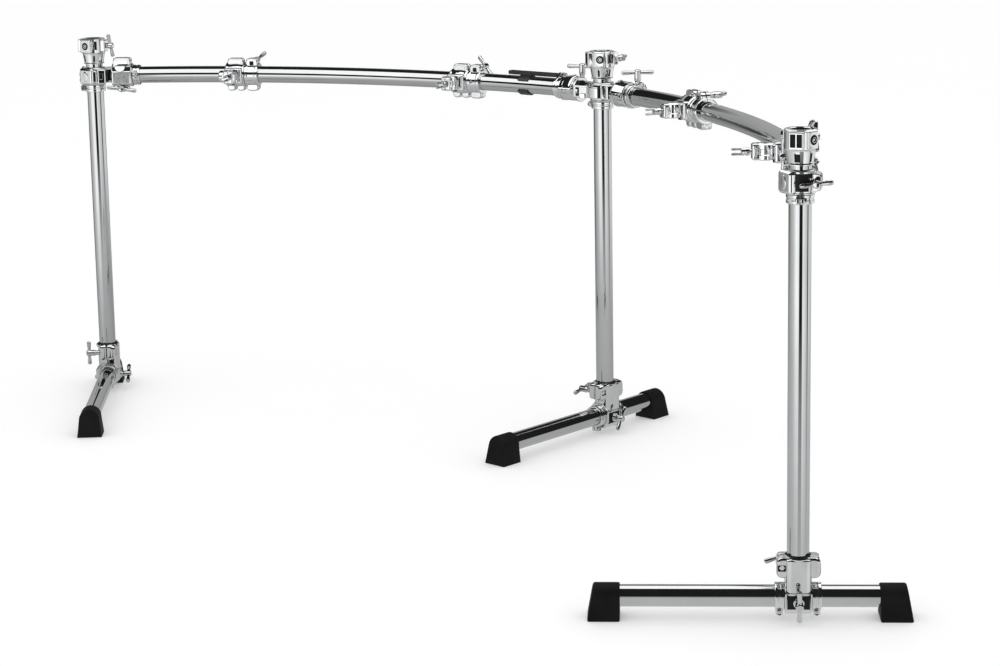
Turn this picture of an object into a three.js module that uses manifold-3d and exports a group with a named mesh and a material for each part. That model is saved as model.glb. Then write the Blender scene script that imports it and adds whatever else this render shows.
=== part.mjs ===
// Drum rack frame, in millimetres, +Z up. Two curved bars hang between three posts, and
// each post stands in a leg with two rubber feet. The player sits on the -Y side.
import * as THREE from 'three';
import { mergeGeometries, mergeVertices } from 'three/addons/utils/BufferGeometryUtils.js';
import Module from 'manifold-3d';

const wasm = await Module();
wasm.setup();

// Plan of the rack
const HALF_SPAN = 1103.7;
const SPAN_DEPTH = 585.8;
const BAR_SAG = 130.4;
const BAR_HEIGHT = 749;
const LEG_HEIGHT = 38;

// Tubes and running clearances
const TUBE_RADIUS = 19.05;
const TUBE_WALL = 1.6;
const FIT_GAP = 0.3;
const OVERRUN = 5;
const SLIT = 1.2;
const ROUND_SIDES = 12;
const SCREW_SIDES = 6;
const BAR_STEPS = 20;

// Post sleeves and the two kinds of bar arm
const SLEEVE_RADIUS = 26.5;
const SLEEVE_HEIGHT = 40;
const TEE_ARM_MIDDLE = 66;
const JOINT_ARM_MIDDLE = 83;
const ARM_LENGTH = 48;
const ARM_RADIUS = 27;
const BAR_END_GAP = 3;
const WEB_HALF_HEIGHT = 16;
const WEB_NEAR = 2;
const WEB_FAR = 20;
const WEB_LAP = 4;

// Ears of the clamping sleeves
const EAR_CHAMFER = 6;
const ARM_HINGE_HALF_WIDTH = 21;
const ARM_HINGE_REACH = 41;
const ARM_HINGE_HALF_THICK = 9;
const ARM_BOLT_HALF_WIDTH = 14;
const ARM_BOLT_REACH = 38;
const ARM_BOLT_HALF_THICK = 12;
const ARM_BOLT_DROP = 29.5;
const SLEEVE_EAR_HALF_HEIGHT = 15;
const SLEEVE_EAR_HALF_THICK = 14;
const SLEEVE_EAR_REACH = 36;
const SLEEVE_HINGE_REACH = 33;
const SLEEVE_HINGE_HALF_THICK = 9;
const SLEEVE_BOLT_OUT = 28.5;
const JOINT_EAR_HALF_WIDTH = 17;
const JOINT_EAR_HALF_THICK = 13;
const JOINT_EAR_REACH = 40;
const JOINT_HINGE_REACH = 33;
const JOINT_BOLT_OUT = 31;
const KEY_HEAD_RADIUS = 5.5;
const KEY_HEAD_HEIGHT = 6;

// Memory locks: split collars that keep a tube's place
const LOCK_RADIUS = 23.5;
const LOCK_LENGTH = 16;
const LOCK_LUG_HALF_WIDTH = 7;
const LOCK_LUG_REACH = 33;
const LOCK_LUG_BOLT_OUT = 27.5;
const LOCK_BOLT_RADIUS = 2.5;
const LOCK_HEAD_RADIUS = 4.6;
const LOCK_HEAD_HEIGHT = 4;
const LOCK_LUG_HALF_LENGTH = 6.5;
const BAR_LOCK_TURN = THREE.MathUtils.degToRad(-40);

// Wing screws
const SCREW_RADIUS = 4;
const SCREW_BITE = 18;
const HUB_RADIUS = 7;
const HUB_HEIGHT = 21;
const WING_RADIUS = 4;
const WING_DROP = 7;
const SHORT_WING = 56;
const LONG_WING = 69;
const HIGH_STEM = 18;
const MIDDLE_STEM = 11;
const LOW_STEM = 5;
const POST_SCREW_STEM = 4;

// Receivers on the post tops
const RECEIVER_RISE = 28;
const RECEIVER_TAPER = 26;
const RECEIVER_FOOT_RADIUS = 21.9;
const RECEIVER_NECK_RADIUS = 24.5;
const RECEIVER_RING_RADIUS = 26.5;
const RECEIVER_RING_HEIGHT = 33;
const RECEIVER_FLOOR = 5;
const RECEIVER_BORE = 15;
const RECEIVER_BOSS_REACH = 34;
const RECEIVER_BOSS_HALF_WIDTH = 9;
const RECEIVER_BOSS_HALF_HEIGHT = 11;
const RECEIVER_SLOT_HALF_WIDTH = 2.5;
const RECEIVER_SCREW_BITE = 14;
const POST_SEAT = 18;

// Leg castings
const LEG_SLEEVE_FLAT = 28;
const LEG_SLEEVE_LENGTH = 46;
const LEG_SLEEVE_SIDES = 8;
const SOCKET_RADIUS = 22.5;
const SOCKET_TOP = 75;
const SOCKET_SEAT = 28;
const SOCKET_ROOT = 26;
const SOCKET_EAR_HALF_SPAN = 36;
const SOCKET_EAR_HALF_THICK = 16;
const SOCKET_EAR_LOW = 36;
const SOCKET_EAR_HIGH = 74;
const SOCKET_SCREW_OUT = 28;
const SOCKET_SCREW_HEIGHT = 55;
const SKIRT_AHEAD = 7.5;
const SKIRT_LOW = 4;
const LEG_SPLIT_HEIGHT = 14;
const LEG_SCREW_DROP = 4;
const LEG_SCREW_BITE = 6;

// Legs: the whole length over both feet, and the bare tube between rear lock and rear foot
const LEG_LENGTH = 550;
const LEFT_REAR_TUBE = 3;
const CENTRE_REAR_TUBE = 95;
const RIGHT_REAR_TUBE = 98;
const LEFT_LEG_TURN = THREE.MathUtils.degToRad(-37.1);
const CENTRE_LEG_TURN = THREE.MathUtils.degToRad(-83.4);
const RIGHT_LEG_TURN = THREE.MathUtils.degToRad(-133.8);
const FOOT_LENGTH = 56;
const FOOT_SLOPE = 11;
const FOOT_HALF_WIDTH = 27;
const FOOT_HEIGHT = 60.5;
const FOOT_ARCH_STEPS = 8;
const FOOT_END_WALL = 8;

// Clamps on the bars: a band that grips the bar and a jaw that takes a drum arm
const CLAMP_SHARES = [
  { bar: 'left', share: 0.275 },
  { bar: 'left', share: 0.894 },
  { bar: 'right', share: 0.235 },
  { bar: 'right', share: 0.807 },
];
const BAND_LENGTH = 32;
const BAND_EAR_HALF_WIDTH = 12;
const BAND_EAR_REACH = 38;
const BAND_EAR_HALF_THICK = 10;
const BAND_SCREW_HEIGHT = 30;
const JAW_LENGTH = 46;
const JAW_FLAT = 29;
const JAW_EAR_HALF_WIDTH = 13;
const JAW_EAR_REACH = 38;
const JAW_EAR_HALF_THICK = 9;
const JAW_BLOCK_REACH = 74;
const JAW_BLOCK_HALF_WIDTH = 17;
const JAW_BLOCK_HALF_HEIGHT = 15;
const JAW_HOLE_OUT = 50;
const JAW_HOLE_RADIUS = 9.5;
const JAW_BOSS_RADIUS = 8.5;
const JAW_BOSS_LENGTH = 15;
const JAW_BOSS_OUT = 29.5;
const NUT_RADIUS = 7.5;
const NUT_HEIGHT = 14;
const NUT_STEM = 4;
const NUT_BITE = 12;
const PRONG_RADIUS = 2.8;
const PRONG_SPREAD = 4.6;
const PRONG_LENGTH = 18;

// Clip for the tuning key on the left bar
const CLIP_LENGTH = 26;
const CLIP_WALL = 3.2;
const CLIP_MOUTH = 11;
const TRAY_BACK = 53;
const TRAY_AHEAD = 84;
const TRAY_END_GAP = 3.5;
const TRAY_NEAR = -2;
const TRAY_FAR = 16;
const TRAY_HEIGHT = 11;
const TRAY_LAP = 1.5;

// Finishes
const CHROME = { color: 0xd9dcde, roughness: 0.1, metalness: 1 };
const BLACK_RUBBER = { color: 0x1c1c1d, roughness: 0.85, metalness: 0 };
const BLACK_PLASTIC = { color: 0x161617, roughness: 0.45, metalness: 0 };

// Sizes that follow from the ones above
const BAR_CHORD = Math.hypot(HALF_SPAN, SPAN_DEPTH);
const BAR_RADIUS = (BAR_CHORD ** 2 / 4 + BAR_SAG ** 2) / (2 * BAR_SAG);
const BAR_HALF_ANGLE = Math.asin(BAR_CHORD / 2 / BAR_RADIUS);
const BAR_ARC = 2 * BAR_HALF_ANGLE * BAR_RADIUS;
const CHORD_TURN = Math.atan2(SPAN_DEPTH, HALF_SPAN);
const BAR_STARTS = {
  left: { x: -HALF_SPAN, y: 0, turn: BAR_HALF_ANGLE + CHORD_TURN },
  right: { x: 0, y: SPAN_DEPTH, turn: BAR_HALF_ANGLE - CHORD_TURN },
};
const TEE_BAR_START = TEE_ARM_MIDDLE - ARM_LENGTH / 2 + BAR_END_GAP;
const JOINT_BAR_START = JOINT_ARM_MIDDLE - ARM_LENGTH / 2 + BAR_END_GAP;
const POST_BORE = TUBE_RADIUS + FIT_GAP;
const TURN_BORE = POST_BORE / Math.cos(Math.PI / ROUND_SIDES);
const sagOver = (length) => length ** 2 / (8 * BAR_RADIUS);
const BAR_BORE = POST_BORE + sagOver(BAR_ARC / BAR_STEPS) + sagOver(ARM_LENGTH);
const JAW_BORE = (POST_BORE + sagOver(BAR_ARC / BAR_STEPS) + sagOver(JAW_LENGTH)) / Math.cos(Math.PI / ROUND_SIDES);
const SCREW_HOLE = (SCREW_RADIUS + FIT_GAP) / Math.cos(Math.PI / SCREW_SIDES);
const POST_FOOT = LEG_HEIGHT + SOCKET_SEAT;
const POST_TOP = BAR_HEIGHT + RECEIVER_RISE + POST_SEAT;

// Steps along a bar's arc from the post at its end: memory locks, free run, clip
const BEND_GAP = LOCK_RADIUS * ARM_LENGTH / BAR_RADIUS;
const LOCK_STEP = ARM_LENGTH / 2 + FIT_GAP + BEND_GAP + LOCK_LENGTH / 2;
const TEE_LOCK = TEE_ARM_MIDDLE + LOCK_STEP;
const JOINT_LOCK = JOINT_ARM_MIDDLE + LOCK_STEP;
const CLIP_ALONG = BAR_ARC - JOINT_LOCK - LOCK_LENGTH / 2 - TRAY_END_GAP - TRAY_AHEAD;
const FREE_RUNS = {
  left: [TEE_LOCK + LOCK_LENGTH / 2, CLIP_ALONG - TRAY_BACK],
  right: [JOINT_LOCK + LOCK_LENGTH / 2, BAR_ARC - TEE_LOCK - LOCK_LENGTH / 2],
};

// Solids and the joins and cuts between them
function solid(geometry) {
  const bare = geometry.clone();
  bare.deleteAttribute('normal');
  bare.deleteAttribute('uv');
  const welded = mergeVertices(bare);
  const vertProperties = new Float32Array(welded.attributes.position.array);
  const triVerts = new Uint32Array(welded.index.array);
  return new wasm.Manifold(new wasm.Mesh({ numProp: 3, vertProperties, triVerts }));
}

function shapeOf(manifold) {
  const mesh = manifold.getMesh();
  const geometry = new THREE.BufferGeometry();
  geometry.setAttribute('position', new THREE.BufferAttribute(mesh.vertProperties, mesh.numProp));
  geometry.setIndex(new THREE.BufferAttribute(mesh.triVerts, 1));
  return geometry;
}

function join(first, ...rest) {
  return rest.reduce((sum, next) => sum.add(next), first);
}

function cut(first, ...rest) {
  return rest.reduce((left, next) => left.subtract(next), first);
}

function moved(geometry, matrix) {
  return geometry.clone().applyMatrix4(matrix);
}

function block(x, y, z) {
  const geometry = new THREE.BoxGeometry(x[1] - x[0], y[1] - y[0], z[1] - z[0]);
  geometry.translate((x[0] + x[1]) / 2, (y[0] + y[1]) / 2, (z[0] + z[1]) / 2);
  return solid(geometry);
}

// A round bar along one axis, with corners of its outline on the other two axes.
function roundBar(axis, radius, from, to, sides = ROUND_SIDES, topRadius = radius) {
  const geometry = new THREE.CylinderGeometry(topRadius, radius, to - from, sides);
  geometry.translate(0, (from + to) / 2, 0);
  if (axis === 'x') {
    geometry.rotateZ(-Math.PI / 2);
  }
  if (axis === 'z') {
    geometry.rotateX(Math.PI / 2);
  }
  return geometry;
}

function rod(axis, radius, from, to, sides, topRadius) {
  return solid(roundBar(axis, radius, from, to, sides, topRadius));
}

function rodAt(axis, radius, from, to, place, sides = ROUND_SIDES) {
  const geometry = roundBar(axis, radius, from, to, sides);
  geometry.translate(place.x, place.y, place.z);
  return solid(geometry);
}

// A flat-sided bar along X, with its flats up, down and to the sides.
function flatBar(flat, from, to, sides) {
  const geometry = roundBar('x', flat / Math.cos(Math.PI / sides), from, to, sides);
  geometry.rotateX(Math.PI / sides);
  return solid(geometry);
}

// A plate across Y with two chamfered corners at its far end.
function earPlate(halfWidth, from, to, halfThick) {
  const chamfer = Math.sign(to - from) * EAR_CHAMFER;
  const inner = halfWidth - EAR_CHAMFER;
  const outline = new THREE.Shape([
    new THREE.Vector2(-halfWidth, from),
    new THREE.Vector2(halfWidth, from),
    new THREE.Vector2(halfWidth, to - chamfer),
    new THREE.Vector2(inner, to),
    new THREE.Vector2(-inner, to),
    new THREE.Vector2(-halfWidth, to - chamfer),
  ]);
  const geometry = new THREE.ExtrudeGeometry(outline, { depth: 2 * halfThick, bevelEnabled: false });
  geometry.rotateX(Math.PI / 2);
  geometry.translate(0, halfThick, 0);
  return geometry;
}

// An upright ear plate turned to point along +Y or -Y, standing across X.
function sideEar(halfHeight, from, to, halfThick) {
  const geometry = earPlate(halfHeight, from, to, halfThick);
  geometry.rotateX(-Math.PI / 2);
  geometry.rotateY(Math.PI / 2);
  return solid(geometry);
}

// A flat ear plate that points along +Y or -Y, lying across Z.
function flatEar(halfWidth, from, to, halfThick) {
  const geometry = earPlate(halfWidth, from, to, halfThick);
  geometry.rotateX(-Math.PI / 2);
  return solid(geometry);
}

const FAR = 2 * (JAW_BLOCK_REACH + ARM_LENGTH);

function halfSpace(axis, from, to) {
  const all = [-FAR, FAR];
  const span = [Math.max(from, -FAR), Math.min(to, FAR)];
  return block(axis === 'x' ? span : all, axis === 'y' ? span : all, axis === 'z' ? span : all);
}

// A point on a bar's arc, as a frame: X along the bar, Y away from the player, Z up.
function barFrame(bar, along) {
  const start = BAR_STARTS[bar];
  const angle = along / BAR_RADIUS;
  const frame = new THREE.Matrix4().makeTranslation(start.x, start.y, BAR_HEIGHT);
  frame.multiply(new THREE.Matrix4().makeRotationZ(start.turn));
  const x = BAR_RADIUS * Math.sin(angle);
  const y = BAR_RADIUS * (Math.cos(angle) - 1);
  frame.multiply(new THREE.Matrix4().makeTranslation(x, y, 0));
  return frame.multiply(new THREE.Matrix4().makeRotationZ(-angle));
}

// Frames of the castings: each has its post at the origin.
const LEFT_TEE_FRAME = barFrame('left', 0);
const RIGHT_TEE_FRAME = barFrame('right', BAR_ARC).multiply(new THREE.Matrix4().makeRotationY(Math.PI));
const CENTRE_FRAME = new THREE.Matrix4().makeTranslation(0, SPAN_DEPTH, BAR_HEIGHT);
const alongBar = (step) => LEFT_TEE_FRAME.clone().invert().multiply(barFrame('left', step));
const TEE_ARM_FRAME = alongBar(TEE_ARM_MIDDLE);
const CENTRE_INVERSE = CENTRE_FRAME.clone().invert();
const JOINT_LEFT_FRAME = CENTRE_INVERSE.clone().multiply(barFrame('left', BAR_ARC - JOINT_ARM_MIDDLE));
const JOINT_RIGHT_FRAME = CENTRE_INVERSE.clone().multiply(barFrame('right', JOINT_ARM_MIDDLE));

function placed(manifold, frame) {
  return solid(moved(shapeOf(manifold), frame));
}

const screwHoleIn = (axis, from, to, place) => rodAt(axis, SCREW_HOLE, from, to, place, SCREW_SIDES);

// Arm of a side tee, along X: hinged at the top and screwed at the bottom, split by the XZ plane.
function teeArm() {
  const whole = join(
    rod('x', ARM_RADIUS, -ARM_LENGTH / 2, ARM_LENGTH / 2),
    solid(earPlate(ARM_HINGE_HALF_WIDTH, 0, ARM_HINGE_REACH, ARM_HINGE_HALF_THICK)),
    solid(earPlate(ARM_BOLT_HALF_WIDTH, 0, -ARM_BOLT_REACH, ARM_BOLT_HALF_THICK)),
  );
  const screwPlace = { x: 0, y: 0, z: -ARM_BOLT_DROP };
  return cut(
    whole,
    rod('x', BAR_BORE, -ARM_LENGTH, ARM_LENGTH),
    screwHoleIn('y', -ARM_BOLT_HALF_THICK - OVERRUN, SCREW_BITE, screwPlace),
  );
}

// Arm of the centre joint, along X: hinged towards the player, screwed at the back, split level.
function jointArm() {
  const whole = join(
    rod('x', ARM_RADIUS, -ARM_LENGTH / 2, ARM_LENGTH / 2),
    flatEar(JOINT_EAR_HALF_WIDTH, 0, JOINT_EAR_REACH, JOINT_EAR_HALF_THICK),
    flatEar(JOINT_EAR_HALF_WIDTH, 0, -JOINT_HINGE_REACH, ARM_HINGE_HALF_THICK),
  );
  const screwPlace = { x: 0, y: JOINT_BOLT_OUT, z: 0 };
  return cut(
    whole,
    rod('x', BAR_BORE, -ARM_LENGTH, ARM_LENGTH),
    screwHoleIn('z', -SCREW_BITE, JOINT_EAR_HALF_THICK + OVERRUN, screwPlace),
  );
}

// Sleeve round a post: ear for its screw on +Y, hinge on -Y.
function postSleeve() {
  return join(
    rod('z', SLEEVE_RADIUS, -SLEEVE_HEIGHT / 2, SLEEVE_HEIGHT / 2),
    sideEar(SLEEVE_EAR_HALF_HEIGHT, 0, SLEEVE_EAR_REACH, SLEEVE_EAR_HALF_THICK),
    sideEar(SLEEVE_EAR_HALF_HEIGHT, 0, -SLEEVE_HINGE_REACH, SLEEVE_HINGE_HALF_THICK),
  );
}

const postBore = () => rod('z', TURN_BORE, -SLEEVE_HEIGHT, SLEEVE_HEIGHT);

const sleeveSlit = (axis) => block(
  axis === 'x' ? [-SLIT / 2, SLIT / 2] : [-SLEEVE_EAR_REACH - OVERRUN, 0],
  axis === 'x' ? [0, SLEEVE_EAR_REACH + OVERRUN] : [-SLIT / 2, SLIT / 2],
  [-SLEEVE_HEIGHT, SLEEVE_HEIGHT],
);

// A side tee: its post sleeve and the back half of its arm, then the arm's door.
function teeParts() {
  const screwPlace = { x: 0, y: SLEEVE_BOLT_OUT, z: 0 };
  const screwEnd = SCREW_BITE - SLEEVE_EAR_HALF_THICK;
  const sleeve = cut(
    postSleeve(),
    postBore(),
    sleeveSlit('x'),
    screwHoleIn('x', -SLEEVE_EAR_HALF_THICK - OVERRUN, screwEnd, screwPlace),
  );
  const arm = teeArm();
  const webEnd = TEE_ARM_MIDDLE - ARM_LENGTH / 2 + WEB_LAP;
  const web = block(
    [POST_BORE + WEB_NEAR, webEnd],
    [WEB_NEAR, WEB_FAR],
    [-WEB_HALF_HEIGHT, WEB_HALF_HEIGHT],
  );
  const armBore = placed(rod('x', BAR_BORE, -ARM_LENGTH, ARM_LENGTH), TEE_ARM_FRAME);
  const casting = join(
    sleeve,
    placed(cut(arm, halfSpace('y', -FAR, SLIT / 2)), TEE_ARM_FRAME),
    cut(web, armBore),
  );
  const door = placed(cut(arm, halfSpace('y', -SLIT / 2, FAR)), TEE_ARM_FRAME);
  return { casting: shapeOf(casting), door: shapeOf(door) };
}

// The centre joint: a post sleeve between the two bar arms.
function jointShape() {
  const core = rod('z', SLEEVE_RADIUS, -SLEEVE_HEIGHT / 2, SLEEVE_HEIGHT / 2);
  const ears = block(
    [-SLEEVE_EAR_REACH, SLEEVE_HINGE_REACH],
    [-SLEEVE_EAR_HALF_THICK, SLEEVE_EAR_HALF_THICK],
    [-SLEEVE_EAR_HALF_HEIGHT, SLEEVE_EAR_HALF_HEIGHT],
  );
  const armSlit = block(
    [-ARM_LENGTH, ARM_LENGTH],
    [0, JOINT_EAR_REACH + OVERRUN],
    [-SLIT / 2, SLIT / 2],
  );
  const arm = cut(jointArm(), armSlit);
  const webEnd = JOINT_ARM_MIDDLE - ARM_LENGTH / 2 + WEB_LAP;
  const web = block([-webEnd, webEnd], [WEB_NEAR, WEB_FAR], [-WEB_HALF_HEIGHT, WEB_HALF_HEIGHT]);
  const bar = rod('x', BAR_BORE, -ARM_LENGTH, ARM_LENGTH);
  const head = rodAt(
    'y',
    KEY_HEAD_RADIUS,
    -SLEEVE_EAR_HALF_THICK - KEY_HEAD_HEIGHT,
    0,
    { x: -SLEEVE_BOLT_OUT, y: 0, z: 0 },
    SCREW_SIDES,
  );
  return shapeOf(join(
    cut(join(core, ears), postBore(), sleeveSlit('y')),
    cut(web, postBore(), placed(bar, JOINT_LEFT_FRAME), placed(bar, JOINT_RIGHT_FRAME)),
    placed(arm, JOINT_LEFT_FRAME),
    placed(arm, JOINT_RIGHT_FRAME),
    head,
  ));
}

// A memory lock round a tube along X, with its bolt across the split lug at the top.
function memoryLock() {
  const lug = block(
    [-LOCK_LUG_HALF_LENGTH, LOCK_LUG_HALF_LENGTH],
    [-LOCK_LUG_HALF_WIDTH, LOCK_LUG_HALF_WIDTH],
    [0, LOCK_LUG_REACH],
  );
  const slit = block([-LOCK_LENGTH, LOCK_LENGTH], [-SLIT / 2, SLIT / 2], [0, LOCK_LUG_REACH + OVERRUN]);
  const boltPlace = { x: 0, y: 0, z: LOCK_LUG_BOLT_OUT };
  const headEnd = LOCK_LUG_HALF_WIDTH + LOCK_HEAD_HEIGHT;
  return join(
    cut(join(rod('x', LOCK_RADIUS, -LOCK_LENGTH / 2, LOCK_LENGTH / 2), lug), slit),
    rodAt('y', LOCK_BOLT_RADIUS, -LOCK_LUG_HALF_WIDTH, 0, boltPlace, SCREW_SIDES),
    rodAt('y', LOCK_HEAD_RADIUS, -SLIT, headEnd, boltPlace, SCREW_SIDES),
  );
}

// A wing screw along +Z: its thread starts below zero, and its wing lies along X.
function wingScrew(stem, wing, bite) {
  const top = stem + HUB_HEIGHT;
  return shapeOf(join(
    rod('z', SCREW_RADIUS, -bite, stem + WING_RADIUS, SCREW_SIDES),
    rod('z', HUB_RADIUS, stem, top, SCREW_SIDES),
    rodAt('x', WING_RADIUS, -wing / 2, wing / 2, { x: 0, y: 0, z: top - WING_DROP }, SCREW_SIDES),
  ));
}

// The wing nut of a jaw along +Z, with two prongs that point outwards.
function prongNut() {
  const top = NUT_STEM + NUT_HEIGHT;
  const prong = (side) => rodAt(
    'z',
    PRONG_RADIUS,
    top - WING_RADIUS,
    top + PRONG_LENGTH,
    { x: 0, y: side * PRONG_SPREAD, z: 0 },
    SCREW_SIDES,
  );
  return shapeOf(join(
    rod('z', SCREW_RADIUS, -NUT_BITE, NUT_STEM + WING_RADIUS, SCREW_SIDES),
    rod('z', NUT_RADIUS, NUT_STEM, top, SCREW_SIDES),
    prong(1),
    prong(-1),
  ));
}

// A rubber foot at the +X end of a leg, with its outer edge at zero and its sole on Z zero.
function rubberFoot() {
  const arch = FOOT_HEIGHT - LEG_HEIGHT;
  const outline = [new THREE.Vector2(-FOOT_HALF_WIDTH, 0), new THREE.Vector2(FOOT_HALF_WIDTH, 0)];
  for (let step = 0; step <= FOOT_ARCH_STEPS; step += 1) {
    const angle = (Math.PI * step) / FOOT_ARCH_STEPS;
    outline.push(new THREE.Vector2(arch * Math.cos(angle), LEG_HEIGHT + arch * Math.sin(angle)));
  }
  const geometry = new THREE.ExtrudeGeometry(
    new THREE.Shape(outline),
    { depth: FOOT_LENGTH, bevelEnabled: false },
  );
  geometry.rotateX(Math.PI / 2);
  geometry.rotateZ(Math.PI / 2);
  geometry.translate(-FOOT_LENGTH, 0, 0);
  const wedge = new THREE.ExtrudeGeometry(
    new THREE.Shape([
      new THREE.Vector2(0, 0),
      new THREE.Vector2(OVERRUN, 0),
      new THREE.Vector2(OVERRUN, FOOT_HEIGHT + OVERRUN),
      new THREE.Vector2(-FOOT_SLOPE * (1 + OVERRUN / FOOT_HEIGHT), FOOT_HEIGHT + OVERRUN),
    ]),
    { depth: 2 * FOOT_HALF_WIDTH + 2 * OVERRUN, bevelEnabled: false },
  );
  wedge.rotateX(Math.PI / 2);
  wedge.translate(0, FOOT_HALF_WIDTH + OVERRUN, 0);
  const bore = rodAt(
    'x',
    POST_BORE,
    -FOOT_LENGTH - OVERRUN,
    -FOOT_SLOPE - FOOT_END_WALL,
    { x: 0, y: 0, z: LEG_HEIGHT },
  );
  return shapeOf(cut(solid(geometry), solid(wedge), bore));
}

// A leg casting at its tube's axis: the leg along X, the post's socket up, split on +Y.
function legSocket() {
  const half = LEG_SLEEVE_LENGTH / 2;
  const ears = earPlate(SOCKET_EAR_HALF_SPAN, SOCKET_EAR_LOW, SOCKET_EAR_HIGH, SOCKET_EAR_HALF_THICK);
  const socketScrew = { x: SOCKET_SCREW_OUT, y: 0, z: SOCKET_SCREW_HEIGHT };
  const sleeveScrew = { x: 0, y: 0, z: -LEG_SCREW_DROP };
  return shapeOf(cut(
    join(
      flatBar(LEG_SLEEVE_FLAT, -half, half, LEG_SLEEVE_SIDES),
      rod('z', SOCKET_RADIUS, SOCKET_ROOT, SOCKET_TOP),
      rodAt('z', SOCKET_RADIUS, SKIRT_LOW, SOCKET_EAR_LOW, { x: 0, y: SKIRT_AHEAD, z: 0 }),
      solid(ears),
    ),
    rod('x', POST_BORE, -LEG_SLEEVE_LENGTH, LEG_SLEEVE_LENGTH),
    rod('z', TURN_BORE, SOCKET_SEAT - FIT_GAP, SOCKET_TOP + OVERRUN),
    block(
      [0, SOCKET_EAR_HALF_SPAN + OVERRUN],
      [-SLIT / 2, SLIT / 2],
      [SOCKET_EAR_LOW, SOCKET_TOP + OVERRUN],
    ),
    block(
      [-LEG_SLEEVE_LENGTH, LEG_SLEEVE_LENGTH],
      [0, 2 * LEG_SLEEVE_FLAT],
      [LEG_SPLIT_HEIGHT - SLIT, LEG_SPLIT_HEIGHT],
    ),
    screwHoleIn('y', -SOCKET_EAR_HALF_THICK - OVERRUN, SCREW_BITE - SOCKET_EAR_HALF_THICK, socketScrew),
    screwHoleIn('y', LEG_SLEEVE_FLAT - LEG_SCREW_BITE - FIT_GAP, LEG_SLEEVE_FLAT + OVERRUN, sleeveScrew),
  ));
}

// A receiver above the tee: the post's end below, an open socket for a tube above.
function receiverShape() {
  const neck = RECEIVER_RISE + RECEIVER_TAPER;
  const top = neck + RECEIVER_RING_HEIGHT;
  const boss = block(
    [-RECEIVER_BOSS_REACH, RECEIVER_BOSS_REACH],
    [-RECEIVER_BOSS_HALF_WIDTH, RECEIVER_BOSS_HALF_WIDTH],
    [neck + RECEIVER_RING_HEIGHT / 2 - RECEIVER_BOSS_HALF_HEIGHT, neck + RECEIVER_RING_HEIGHT / 2 + RECEIVER_BOSS_HALF_HEIGHT],
  );
  const socketFloor = RECEIVER_RISE + POST_SEAT + FIT_GAP + RECEIVER_FLOOR;
  const screwPlace = { x: 0, y: 0, z: neck + RECEIVER_RING_HEIGHT / 2 };
  const slot = block(
    [-RECEIVER_SLOT_HALF_WIDTH, RECEIVER_SLOT_HALF_WIDTH],
    [-RECEIVER_RING_RADIUS, 0],
    [RECEIVER_RISE - OVERRUN, RECEIVER_RISE + POST_SEAT + FIT_GAP],
  );
  return shapeOf(cut(
    join(
      rod('z', RECEIVER_FOOT_RADIUS, RECEIVER_RISE, neck, ROUND_SIDES, RECEIVER_NECK_RADIUS),
      rod('z', RECEIVER_RING_RADIUS, neck, top),
      boss,
    ),
    rod('z', TURN_BORE, RECEIVER_RISE - OVERRUN, RECEIVER_RISE + POST_SEAT + FIT_GAP),
    rod('z', RECEIVER_BORE, socketFloor, top + OVERRUN),
    slot,
    screwHoleIn('x', RECEIVER_BOSS_REACH - RECEIVER_SCREW_BITE, RECEIVER_BOSS_REACH + OVERRUN, screwPlace),
  ));
}

// Places of a clamp's band along the bar, from the middle of its jaw.
const BAND_START = JAW_LENGTH / 2 + FIT_GAP;
const BAND_MIDDLE = BAND_START + BAND_LENGTH / 2;

function clampEars(middle, halfWidth, reach, halfThick) {
  return [reach, -reach].map((end) => {
    const geometry = earPlate(halfWidth, 0, end, halfThick);
    return solid(geometry.translate(middle, 0, 0));
  });
}

// The band of a clamp: beside the jaw along +X, with its screw ear on top.
function bandShape() {
  const screwPlace = { x: BAND_MIDDLE, y: 0, z: BAND_SCREW_HEIGHT };
  return shapeOf(cut(
    join(
      rod('x', ARM_RADIUS, BAND_START, BAND_START + BAND_LENGTH),
      ...clampEars(BAND_MIDDLE, BAND_EAR_HALF_WIDTH, BAND_EAR_REACH, BAND_EAR_HALF_THICK),
    ),
    placed(rod('x', BAR_BORE, -BAND_LENGTH, BAND_LENGTH), alongBar(BAND_MIDDLE)),
    block(
      [BAND_START - OVERRUN, BAND_START + BAND_LENGTH + OVERRUN],
      [-SLIT / 2, SLIT / 2],
      [0, BAND_EAR_REACH + OVERRUN],
    ),
    screwHoleIn('y', BAND_EAR_HALF_THICK - SCREW_BITE, BAND_EAR_HALF_THICK + OVERRUN, screwPlace),
  ));
}

// The jaw of a clamp: round the bar, with its block for a drum arm towards the player.
function jawShape() {
  const half = JAW_LENGTH / 2;
  const bossPlace = { x: 0, y: -JAW_BOSS_OUT, z: 0 };
  return shapeOf(cut(
    join(
      flatBar(JAW_FLAT, -half, half, LEG_SLEEVE_SIDES),
      ...clampEars(0, JAW_EAR_HALF_WIDTH, JAW_EAR_REACH, JAW_EAR_HALF_THICK),
      block(
        [-JAW_BLOCK_HALF_WIDTH, JAW_BLOCK_HALF_WIDTH],
        [-JAW_BLOCK_REACH, -TUBE_RADIUS],
        [-JAW_BLOCK_HALF_HEIGHT, JAW_BLOCK_HALF_HEIGHT],
      ),
      rodAt('x', JAW_BOSS_RADIUS, -half - JAW_BOSS_LENGTH, 0, bossPlace, SCREW_SIDES),
    ),
    rod('x', JAW_BORE, -JAW_LENGTH, JAW_LENGTH),
    rodAt('z', JAW_HOLE_RADIUS, -JAW_BLOCK_REACH, JAW_BLOCK_REACH, { x: 0, y: -JAW_HOLE_OUT, z: 0 }),
    rod('y', SCREW_HOLE, -JAW_BLOCK_REACH - OVERRUN, -JAW_BLOCK_REACH + NUT_BITE, SCREW_SIDES),
  ));
}

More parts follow.
